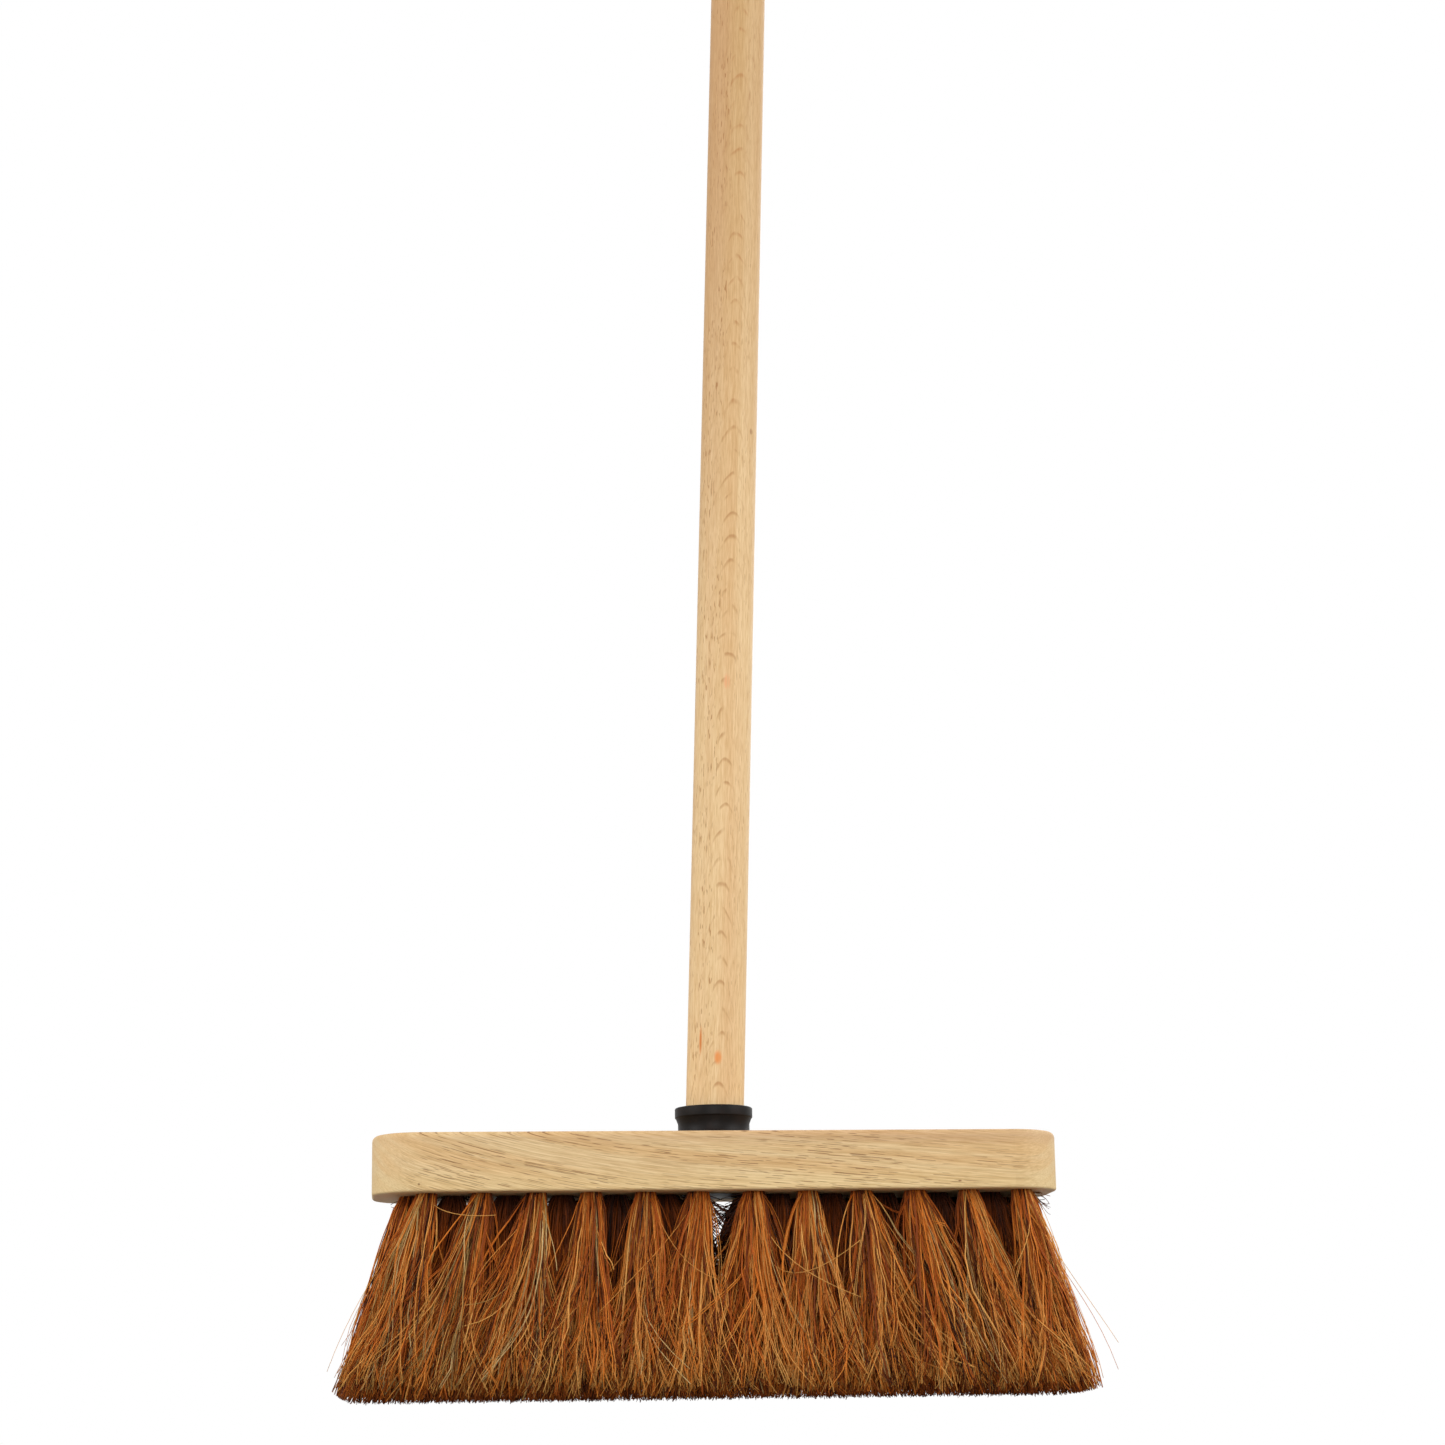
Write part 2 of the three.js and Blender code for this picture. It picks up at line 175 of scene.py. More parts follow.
def finishSurface(tree, shader, colour, roughness, specular, height, depth, strength):
    # height is the relief, from 0 to 1 of the depth
    tree.links.new(colour, shader.inputs["Base Color"])
    tree.links.new(roughness, shader.inputs["Roughness"])
    shader.inputs["Specular IOR Level"].default_value = specular
    inputs = {"Height": height, "Distance": depth, "Strength": strength}
    tree.links.new(put(tree, "Bump", inputs).outputs[0], shader.inputs["Normal"])


def nearMark(tree, point, centre, size):
    # 1 at a mark's centre, 0 outside its half sizes along each axis, which are in mm
    centre, size = [c * mm for c in centre], [s * mm for s in size]
    away = put(tree, "VectorMath", {0: point, 1: centre}, operation="SUBTRACT").outputs[0]
    shares = put(tree, "VectorMath", {0: away, 1: size}, operation="DIVIDE").outputs[0]
    length = put(tree, "VectorMath", {0: shares}, operation="LENGTH").outputs["Value"]
    return between(tree, length, 0.3, 1, 1, 0)


# studio: pale floor, white surroundings, soft light
studio = {
    "ambient": 0.42,
    "floorBounce": 0.24,
    "floorRadius": 7,
    "floorSides": 96,
    "floorRoughness": 0.9,
    "floorSpecular": 0.1,
    "floorPaint": paint(232, 232, 230),
    "floorClear": (0.55, 1.9),
    "softboxes": (
        # name, place, aimed at, width, watts
        ("softboxRight", (1.9, -1.0, 1.1), (0, 0, 0.3), 1.4, 29),
        ("softboxLeft", (-2.0, -0.8, 1.1), (0, 0, 0.2), 1.5, 26),
        ("softboxLow", (-0.2, -2.2, 0.45), (0, 0, 0.1), 0.8, 14),
        ("softboxBehind", (0.9, 1.8, 1.4), (0, 0, 0.3), 1.8, 18),
    ),
}


def seenDirectly(tree):
    # camera, mirror and glass rays, which show the white surroundings
    path = put(tree, "LightPath", {})
    mirror = calc(tree, "MAXIMUM", path.outputs["Is Glossy Ray"], path.outputs["Is Transmission Ray"])
    return calc(tree, "MAXIMUM", path.outputs["Is Camera Ray"], mirror)


def setStudio():
    world = bpy.data.worlds.new("whiteStudio")
    world.use_nodes = True
    scene.world = world
    tree = world.node_tree
    tree.nodes.clear()
    plain = put(tree, "Background", {"Color": (1, 1, 1, 1), "Strength": studio["ambient"]})
    shown = put(tree, "Background", {"Color": (1, 1, 1, 1), "Strength": 1})
    both = put(tree, "MixShader", {0: seenDirectly(tree), 1: plain.outputs[0], 2: shown.outputs[0]})
    put(tree, "OutputWorld", {"Surface": both.outputs[0]})
    for name, place, aim, width, watts in studio["softboxes"]:
        lamp = bpy.data.lights.new(name, "AREA")
        lamp.size, lamp.energy = width, watts
        box = addObject(name, lamp)
        box.location = place
        box.rotation_mode = "QUATERNION"
        box.rotation_quaternion = (Vector(place) - Vector(aim)).to_track_quat("Z", "Y")


def floorMaterial():
    material, tree, shader = newMaterial("paleFloor")
    output = tree.nodes["Material Output"]
    shader.inputs["Base Color"].default_value = studio["floorPaint"]
    shader.inputs["Roughness"].default_value = studio["floorRoughness"]
    shader.inputs["Specular IOR Level"].default_value = studio["floorSpecular"]
    point = put(tree, "TexCoord", {}).outputs["Object"]
    away = put(tree, "VectorMath", {0: point}, operation="LENGTH").outputs["Value"]
    path = put(tree, "LightPath", {})
    white = put(tree, "Emission", {"Color": (1, 1, 1, 1), "Strength": 1})
    faded = calc(tree, "MULTIPLY", between(tree, away, *studio["floorClear"]), path.outputs["Is Camera Ray"])
    top = put(tree, "MixShader", {0: faded, 1: shader.outputs[0], 2: white.outputs[0]})
    # soft rays find the floor evenly lit, as in a bright studio, also close under the bristles
    even = put(tree, "Emission", {"Color": (1, 1, 1, 1), "Strength": studio["floorBounce"]})
    top = put(tree, "MixShader", {0: path.outputs["Is Diffuse Ray"], 1: top.outputs[0], 2: even.outputs[0]})
    below = put(tree, "NewGeometry", {}).outputs["Backfacing"]
    hidden = calc(tree, "MULTIPLY", below, path.outputs["Is Camera Ray"])
    clear = put(tree, "BsdfTransparent", {})
    whole = put(tree, "MixShader", {0: hidden, 1: top.outputs[0], 2: clear.outputs[0]})
    tree.links.new(whole.outputs[0], output.inputs["Surface"])
    return material


def layFloor():
    bm = bmesh.new()
    bmesh.ops.create_circle(bm, cap_ends=True, segments=studio["floorSides"], radius=studio["floorRadius"])
    mesh = bpy.data.meshes.new("floor")
    bm.to_mesh(mesh)
    bm.free()
    mesh.materials.append(floorMaterial())
    floor = addObject("floor", mesh)


setStudio()
layFloor()
print("studio set")


# shaping helpers
def pieceFrom(bm, name, material, sharpAngle=35):
    # edges that turn by more than the sharp angle stay crisp
    bmesh.ops.remove_doubles(bm, verts=bm.verts, dist=weldDistance)
    bmesh.ops.recalc_face_normals(bm, faces=bm.faces)
    for face in bm.faces:
        face.smooth = True
    for edge in bm.edges:
        edge.smooth = len(edge.link_faces) == 2 and edge.calc_face_angle() < math.radians(sharpAngle)
    mesh = bpy.data.meshes.new(name)
    bm.to_mesh(mesh)
    bm.free()
    mesh.materials.append(material)
    return addObject(name, mesh)


def spunShape(profile, segments):
    # profile is (radius, height) pairs, from the bottom up
    bm = bmesh.new()
    points = [bm.verts.new((radius, 0, height)) for radius, height in profile]
    line = [bm.edges.new(pair) for pair in zip(points, points[1:])]
    bmesh.ops.spin(bm, geom=points + line, axis=(0, 0, 1), cent=(0, 0, 0), angle=2 * math.pi,
                   steps=segments, use_merge=True)
    bmesh.ops.remove_doubles(bm, verts=bm.verts, dist=weldDistance)
    bmesh.ops.recalc_face_normals(bm, faces=bm.faces)
    return bm


def meshAfterModifiers(piece):
    bpy.context.view_layer.update()
    shaped = piece.evaluated_get(bpy.context.evaluated_depsgraph_get())
    return bpy.data.meshes.new_from_object(shaped)


def cutAway(piece, cutter):
    # takes the cutter's shape out of the piece
    knife = piece.modifiers.new("cut", "BOOLEAN")
    knife.operation, knife.solver, knife.object = "DIFFERENCE", "EXACT", cutter
    shaped = meshAfterModifiers(piece)
    piece.modifiers.clear()
    piece.data = shaped
    bpy.data.objects.remove(cutter)


# seat: the handle leans along the axis of the joint that it pulls out by
seat = {
    # the handle's tapered end in the socket: how deep it goes and where its middle is
    "depth": 33.2 * mm,
    "middle": 0.1014,
    "endRadius": 10.6 * mm,
    "mouthRadius": 12 * mm,
    "clearance": 0.35 * mm,
}
handleAxis = Vector(frame["joints"][0]["axis"]).normalized()
handleLean = math.atan2(handleAxis.x, handleAxis.z)
seatFrame = Matrix.Translation((0, 0, seat["middle"])) @ Matrix.Rotation(handleLean, 4, "Y")
seatFrame = seatFrame @ Matrix.Translation((0, 0, -seat["depth"] / 2))

# handle: a turned beech bar with a tapered end
handle = {
    "radius": 12 * mm,
    "length": 1200 * mm,
    "domeHeight": 8 * mm,
    "domeSteps": 14,
    "endChamfer": 1 * mm,
    "segments": 96,
    "sharpAngle": 50,
    "paleWood": paint(247, 216, 167),
    "warmWood": paint(240, 203, 153),
    # painted shade: the wood's colour towards the top, and on the upper left a warmer and darker colour
    "paintedUpperShade": paint(212, 176, 126),
    "upperLeftWarmthAndShade": paint(208, 158, 108),
    "lateWood": paint(204, 156, 104),
    "rayFleck": paint(170, 116, 62),
    "fibreShadow": paint(232, 218, 196),
    "hairShadow": paint(228, 212, 188),
    "paintedShadeFrom": (0.16, 0.5),
    "ringSpacing": 1.7 * mm,
    "ringTilt": 0.16,
    "ringWander": 5.5 * mm,
    "lateBegins": (0.72, 0.88),
    "lateEnds": (0.9, 0.98),
    "arch": (1.5 * mm, 4.5 * mm),
    "specular": 0.35,
    "grainDepth": 0.09 * mm,
    # noises: grains to a metre along each axis, detail, roughness and shift
    "wander": ((45, 45, 9), 2.5, 0.55, (3.1, 0.4, 7.7)),
    "breaks": ((260, 260, 90), 2, 0.6, (5, 1, 2)),
    "bands": ((110, 110, 3.2), 2, 0.5, (1.3, 8.2, 0.6)),
    "fibres": ((900, 900, 26), 3, 0.6, (0.2, 4.4, 2.9)),
    "hairs": ((2600, 2600, 150), 2, 0.6, (9.2, 3.4, 1.1)),
    "flecks": ((1700, 1700, 230), 1, 0.4, (2, 6, 4)),
    "patches": ((120, 120, 30), 1, 0.5, (7, 7, 1)),
    "marks": (
        # centre along x, y, z in the handle's own frame, half sizes, colour
        ((-0.3, -12, 36.2), (2.2, 3, 3.8), (236, 148, 76)),
        ((-7.4, -9.4, 43), (0.7, 3, 7.5), (214, 124, 50)),
        ((0.3, -12, 195.5), (1.9, 3, 4.4), (236, 172, 122)),
        ((8.8, -8.2, 308), (1.2, 2, 1.8), (150, 96, 52)),
    ),
}


def handleMaterial():
    material, tree, shader = newMaterial("turnedBeech")
    place = objectPlace(tree, (0, 0, seat["middle"]), (0, handleLean, 0))
    axes = put(tree, "SeparateXYZ", {"Vector": place}).outputs
    fromMiddle = calc(tree, "ABSOLUTE", axes["X"])
    # growth rings lie almost along the bar, so they end in arches on its front and back
    along = scaled(tree, axes["Z"], handle["ringTilt"], axes["Y"])
    wander = noiseAt(tree, place, *handle["wander"])
    bent = scaled(tree, wander, handle["ringWander"], along)
    ring = calc(tree, "FRACT", calc(tree, "DIVIDE", bent, handle["ringSpacing"]))
    begins = between(tree, ring, *handle["lateBegins"])
    ends = between(tree, ring, *handle["lateEnds"], 1, 0)
    broken = between(tree, noiseAt(tree, place, *handle["breaks"]), 0.42, 0.62)
    late = product(tree, begins, ends, broken, between(tree, fromMiddle, *handle["arch"], 1, 0.35))
    # short dark flecks, thickest to either side of the arches and on the left
    fleck = between(tree, noiseAt(tree, place, *handle["flecks"]), 0.615, 0.69)
    patch = between(tree, noiseAt(tree, place, *handle["patches"]), 0.36, 0.54, 0.22, 1)
    leftward = between(tree, axes["X"], -3 * mm, 4 * mm, 1, 0.45)
    aside = between(tree, fromMiddle, *handle["arch"], 0.15, 1)
    fleck = product(tree, fleck, aside, leftward, patch)
    # long fibres and wide bands of warmer wood; painted shade makes it darker towards the top, and the upper
    # left side is warmer and carries more painted shade
    band = between(tree, noiseAt(tree, place, *handle["bands"]), 0.35, 0.7)
    fibre = noiseAt(tree, place, *handle["fibres"])
    hair = noiseAt(tree, place, *handle["hairs"])
    height = between(tree, axes["Z"], *handle["paintedShadeFrom"])
    leftWarmthAndShade = product(tree, between(tree, axes["X"], -7 * mm, 0, 0.5, 0), height)
    wood = mixPaint(tree, band, handle["paleWood"], handle["warmWood"])
    # painted shade, darker towards the top
    wood = mixPaint(tree, product(tree, height, 0.8), wood, handle["paintedUpperShade"])
    # warmer wood with painted shade on the upper left side
    wood = mixPaint(tree, leftWarmthAndShade, wood, handle["upperLeftWarmthAndShade"])
    wood = mixPaint(tree, product(tree, late, 0.85), wood, handle["lateWood"])
    wood = shadedBy(tree, 0.55, wood, fibre, 0.3, 0.7, handle["fibreShadow"])
    wood = shadedBy(tree, 0.6, wood, hair, 0.35, 0.62, handle["hairShadow"])
    wood = mixPaint(tree, product(tree, fleck, 0.8), wood, handle["rayFleck"])
    for centre, size, colour in handle["marks"]:
        near = nearMark(tree, place, centre, size)
        ragged = product(tree, near, between(tree, fibre, 0.36, 0.56, 0.25, 1), 0.95)
        wood = mixPaint(tree, ragged, wood, paint(*colour))
    relief = calc(tree, "SUBTRACT", product(tree, hair, 0.6), product(tree, fleck, 0.8))
    finishSurface(tree, shader, wood, scaled(tree, fibre, 0.18, 0.46), handle["specular"],
                  relief, handle["grainDepth"], 0.6)
    return material


def makeHandle():
    domeBottom = handle["length"] - handle["domeHeight"]
    endRadius, chamfer = seat["endRadius"], handle["endChamfer"]
    profile = [(0, 0), (endRadius - chamfer, 0), (endRadius, chamfer), (handle["radius"], seat["depth"])]
    for step in range(handle["domeSteps"]):
        rise = step * math.pi / 2 / handle["domeSteps"]
        reach = handle["radius"] * math.cos(rise)
        profile.append((reach, domeBottom + handle["domeHeight"] * math.sin(rise)))
    profile.append((0, handle["length"]))
    bm = spunShape(profile, handle["segments"])
    bmesh.ops.transform(bm, matrix=seatFrame, verts=bm.verts)
    piece = pieceFrom(bm, "handle_bar", handleMaterial(), handle["sharpAngle"])
    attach(piece, "handle")
    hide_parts("handle")


makeHandle()
print("handle turned")

# stock: the wooden block
stock = {
    "endRadius": 20 * mm,
    "endSteps": 24,
    "topEdgeRadius": 2.4 * mm,
    "lowerEdgeRadius": 1 * mm,
    "edgeSteps": 4,
    "tuftHoleRadius": 4.5 * mm,
    "tuftHoleDepth": 15 * mm,
    "tuftHoleSides": 24,
    "socketHoleRadius": 13.8 * mm,
    "socketHoleSides": 96,
    "overrun": 1 * mm,
    "squareNormal": 0.9999,
    "paleWood": paint(238, 210, 162),
    "tanWood": paint(233, 197, 144),
    "pinkWood": paint(213, 174, 132),
    "yellowWood": paint(242, 216, 162),
    "streakShadow": paint(222, 208, 186),
    "hairShadow": paint(222, 208, 188),
    "pore": paint(132, 86, 46),
    "specular": 0.3,
    "grainDepth": 0.12 * mm,
    "grainSlope": 0.08,
    "grainCurve": 0.9,
    "grainTilt": -0.6,
    "grainWander": 2.4 * mm,
    "porePitch": 0.85 * mm,
    "poreEdge": (0.05, 0.17),
    "poreBreak": (0.54, 0.63),
    "endGrainFrom": (118 * mm, 133 * mm),
    "topFaceFrom": (106.6 * mm, 107.6 * mm),
    "yellowBelow": (84 * mm, 94 * mm),
    "pinkAbove": (101.5 * mm, 107 * mm),
    "wander": ((10, 30, 60), 2, 0.45, (4.1, 2.2, 0.7)),
    "bands": ((4, 60, 230), 2, 0.5, (0.4, 3.3, 1.9)),
    "streaks": ((26, 500, 1500), 3, 0.6, (6.1, 2.7, 8.8)),
    "hairs": ((110, 1500, 3200), 2, 0.6, (2.3, 5.5, 4.8)),
    "poreGroups": ((14, 60, 120), 1, 0.5, (3, 9, 2)),
    "specks": (((-121.2, -30, 85), (0.7, 3, 0.6)), ((96.9, -30, 85), (1, 3, 0.5))),
}


def poreLines(tree, axes, level, spread, shift):
    # thin dashes that follow the grain, each on its own line and at its own place along it
    lines = scaled(tree, level, 1 / (stock["porePitch"] * spread), shift)
    line = calc(tree, "FLOOR", lines)
    middle = put(tree, "TexWhiteNoise", {"W": line}, noise_dimensions="1D").outputs["Value"]
    middle = scaled(tree, middle, 0.5, 0.25)
    off = calc(tree, "ABSOLUTE", calc(tree, "SUBTRACT", calc(tree, "FRACT", lines), middle))
    across = scaled(tree, line, 0.19, axes["Y"])
    place = {"X": axes["X"], "Y": across, "Z": calc(tree, "MULTIPLY", line, 0.37)}
    place = put(tree, "CombineXYZ", place).outputs[0]
    along = noiseAt(tree, place, (110, 90, 40), 1, 0.5, (shift, 0, 0))
    dashes = between(tree, along, *stock["poreBreak"])
    return product(tree, between(tree, off, *stock["poreEdge"], 1, 0), dashes)


def stockMaterial():
    material, tree, shader = newMaterial("sawnRubberwood")
    place = objectPlace(tree)
    axes = put(tree, "SeparateXYZ", {"Vector": place}).outputs
    # the grain runs down to the right and levels out along the block
    leftward = calc(tree, "MINIMUM", axes["X"], 0)
    tilted = scaled(tree, axes["Y"], stock["grainTilt"], axes["Z"])
    drop = scaled(tree, product(tree, leftward, leftward), -stock["grainCurve"], tilted)
    level = scaled(tree, axes["X"], stock["grainSlope"], drop)
    wander = noiseAt(tree, place, *stock["wander"])
    level = scaled(tree, wander, stock["grainWander"], level)
    grain = put(tree, "CombineXYZ", {"X": axes["X"], "Y": axes["Y"], "Z": level}).outputs[0]
    band = noiseAt(tree, grain, *stock["bands"])
    streak = noiseAt(tree, grain, *stock["streaks"])
    hair = noiseAt(tree, grain, *stock["hairs"])
    # dark open pores, long on the sides and hardly seen where the ends turn across the grain
    groups = between(tree, noiseAt(tree, grain, *stock["poreGroups"]), 0.36, 0.6, 0.25, 1)
    ends = between(tree, calc(tree, "ABSOLUTE", axes["X"]), *stock["endGrainFrom"], 1, 0.08)
    topFace = between(tree, axes["Z"], *stock["topFaceFrom"], 1, 0.45)
    close, wide = poreLines(tree, axes, level, 1, 0.3), poreLines(tree, axes, level, 1.37, 0.8)
    pores = product(tree, calc(tree, "MAXIMUM", close, wide), groups, ends, topFace)
    # yellower low on the sides and pinker along the upper edge, most to the right
    low = product(tree, between(tree, axes["Z"], *stock["yellowBelow"], 1, 0), 0.6)
    top = between(tree, scaled(tree, band, 6 * mm, axes["Z"]), *stock["pinkAbove"])
    rightward = between(tree, axes["X"], -90 * mm, 30 * mm, 0.35, 1)
    top = product(tree, top, rightward, between(tree, streak, 0.3, 0.6, 0.4, 1), 0.75)
    tan = between(tree, band, 0.36, 0.66)
    wood = mixPaint(tree, tan, stock["paleWood"], stock["tanWood"])
    wood = mixPaint(tree, low, wood, stock["yellowWood"])
    wood = mixPaint(tree, top, wood, stock["pinkWood"])
    streakShare = scaled(tree, ends, 0.5, 0.25)
    wood = shadedBy(tree, streakShare, wood, streak, 0.3, 0.62, stock["streakShadow"])
    hairShare = scaled(tree, ends, 0.2, 0.4)
    wood = shadedBy(tree, hairShare, wood, hair, 0.35, 0.6, stock["hairShadow"])
    wood = mixPaint(tree, product(tree, pores, 0.78), wood, stock["pore"])
    for centre, size in stock["specks"]:
        near = nearMark(tree, place, centre, size)
        wood = mixPaint(tree, product(tree, near, 0.8), wood, stock["pore"])
    relief = calc(tree, "SUBTRACT", product(tree, hair, 0.5), pores)
    finishSurface(tree, shader, wood, scaled(tree, streak, 0.2, 0.5), stock["specular"],
                  relief, stock["grainDepth"], 0.6)
    return material


def tuftFeet():
    # the middle of each tuft's hole, by row, from the staple that holds it
    feet = {}
    for name in frame["nodes"]:
        if "_staple_" in name:
            low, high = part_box(name)
            row, number = name.split("_staple_")
            feet.setdefault(row, {})[int(number)] = (low + high) / 2
    return {row: [places[number] for number in sorted(places)] for row, places in feet.items()}


def drillHole(bm, radius, sides, depth, middle):
    bmesh.ops.create_cone(bm, cap_ends=True, segments=sides, radius1=radius, radius2=radius, depth=depth,
                          matrix=Matrix.Translation(middle))


def makeStock():
    low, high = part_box("stock")
    bm = bmesh.new()
    bmesh.ops.create_cube(bm, size=1)
    bmesh.ops.scale(bm, vec=high - low, verts=bm.verts)
    bmesh.ops.translate(bm, vec=(low + high) / 2, verts=bm.verts)
    rounding = {"offset_type": "OFFSET", "affect": "EDGES", "profile": 0.5, "material": -1,
                "clamp_overlap": False}
    upright = [edge for edge in bm.edges if abs(edge.verts[0].co.z - edge.verts[1].co.z) > weldDistance]
    bmesh.ops.bevel(bm, geom=upright, offset=stock["endRadius"], segments=stock["endSteps"], **rounding)
    for height, radius in ((high.z, stock["topEdgeRadius"]), (low.z, stock["lowerEdgeRadius"])):
        rim = [edge for edge in bm.edges if all(abs(v.co.z - height) < weldDistance for v in edge.verts)]
        bmesh.ops.bevel(bm, geom=rim, offset=radius, segments=stock["edgeSteps"], **rounding)
    piece = pieceFrom(bm, "stock_block", stockMaterial())
    knives, overrun, depth = bmesh.new(), stock["overrun"], stock["tuftHoleDepth"]
    for row in tuftFeet().values():
        for foot in row:
            middle = (foot.x, foot.y, low.z + (depth - overrun) / 2)
            drillHole(knives, stock["tuftHoleRadius"], stock["tuftHoleSides"], depth + overrun, middle)
    middle, through = (0, 0, (low.z + high.z) / 2), 2 * (high.z - low.z)
    drillHole(knives, stock["socketHoleRadius"], stock["socketHoleSides"], through, middle)
    cutAway(piece, pieceFrom(knives, "stockKnives", piece.data.materials[0]))
    for face in piece.data.polygons:
        face.use_smooth = max(abs(axis) for axis in face.normal) < stock["squareNormal"]
    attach(piece, "head")
    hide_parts("stock")


makeStock()
print("stock cut and drilled")

# socket: the black collar and the tube below it
socket = {
    "tubeRadius": 13.5 * mm,
    "footRadius": 15.7 * mm,
    "footHeight": 1.8 * mm,
    "footEdge": (0.1 * mm, 0.7 * mm),
    "waistRadius": 14.75 * mm,
    "flangeRadius": 16 * mm,
    "flangeHeight": 4.4 * mm,
    "flangeEdge": 0.6 * mm,
    "undercut": 2.2 * mm,
    "undercutAngle": -70,
    "mouthChamfer": 0.9 * mm,
    "overrun": 3 * mm,
    "segments": 96,
    "sharpAngle": 30,
    "plastic": paint(15, 11, 9),
    "scuffed": paint(26, 19, 16),
    "specular": 0.13,
    "grainDepth": 0.03 * mm,
    "clouds": ((160, 160, 160), 3, 0.6, (1, 2, 3)),
    "grains": ((2200, 2200, 2200), 2, 0.5, (4, 5, 6)),
}


def socketMaterial():
    material, tree, shader = newMaterial("blackMouldedPlastic")
    place = objectPlace(tree)
    cloud = noiseAt(tree, place, *socket["clouds"])
    scuffs = between(tree, cloud, 0.4, 0.7)
    colour = mixPaint(tree, scuffs, socket["plastic"], socket["scuffed"])
    finishSurface(tree, shader, colour, scaled(tree, cloud, 0.2, 0.36), socket["specular"],
                  noiseAt(tree, place, *socket["grains"]), socket["grainDepth"], 0.5)
    return material


def roundedCorner(centre, radius, start, end, steps=4):
    # a small arc of a profile, by its corner's centre and the angles where it starts and ends
    angles = [math.radians(start + (end - start) * step / steps) for step in range(steps + 1)]
    return [(centre[0] + radius * math.cos(a), centre[1] + radius * math.sin(a)) for a in angles]


def makeSocket():
    low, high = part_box("socket")
    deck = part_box("stock")[1].z
    tube, foot, waist = socket["tubeRadius"], socket["footRadius"], socket["waistRadius"]
    edge, wide, under = socket["flangeEdge"], socket["flangeRadius"], high.z - socket["flangeHeight"]
    inset, rise = socket["footEdge"]
    profile = [(0, low.z), (tube - edge, low.z), (tube, low.z + edge), (tube, deck), (foot, deck)]
    profile += [(foot - inset, deck + rise), ((foot + waist) / 2, deck + socket["footHeight"] / 2)]
    profile += [(waist, deck + socket["footHeight"]), (waist, under - socket["undercut"])]
    profile += roundedCorner((wide - edge, under + edge), edge, socket["undercutAngle"], 0)
    profile += roundedCorner((wide - edge, high.z - edge), edge, 0, 90)
    profile += [(0, high.z)]
    collar = spunShape(profile, socket["segments"])
    piece = pieceFrom(collar, "socket_collar", socketMaterial(), socket["sharpAngle"])
    # the tapered bore leans with the handle, and its mouth opens in a short chamfer
    gap, chamfer, depth = seat["clearance"], socket["mouthChamfer"], seat["depth"]
    mouth, above = seat["mouthRadius"] + gap, depth + socket["overrun"]
    taper = (seat["mouthRadius"] - seat["endRadius"]) / depth
    bore = [(0, -gap), (seat["endRadius"] + gap, -gap), (mouth - taper * chamfer, depth - chamfer)]
    bore += [(mouth + chamfer + socket["overrun"], above), (0, above)]
    knife = spunShape(bore, socket["segments"])
    bmesh.ops.transform(knife, matrix=seatFrame, verts=knife.verts)
    cutAway(piece, pieceFrom(knife, "boreKnife", piece.data.materials[0]))
    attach(piece, "head")
    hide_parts("socket")


makeSocket()
print("socket moulded")

# staples: drawn wire, one in each tuft hole
staple = {
    "brightWire": paint(176, 176, 178),
    "dullWire": paint(132, 130, 128),
    "specular": 0.5,
    "grainDepth": 0.02 * mm,
    "drawing": ((120, 2400, 2400), 2, 0.5, (1, 1, 1)),
}


def stapleMaterial():
    material, tree, shader = newMaterial("drawnWire")
    drawn = noiseAt(tree, objectPlace(tree), *staple["drawing"])
    colour = mixPaint(tree, drawn, staple["brightWire"], staple["dullWire"])
    shader.inputs["Metallic"].default_value = 1
    finishSurface(tree, shader, colour, scaled(tree, drawn, 0.25, 0.25), staple["specular"],
                  drawn, staple["grainDepth"], 0.5)
    return material


def finishStaples():
    wire = stapleMaterial()
    for name, node in frame["nodes"].items():
        if "_staple_" in name:
            node.data.materials.clear()
            node.data.materials.append(wire)


finishStaples()
print("staples finished")

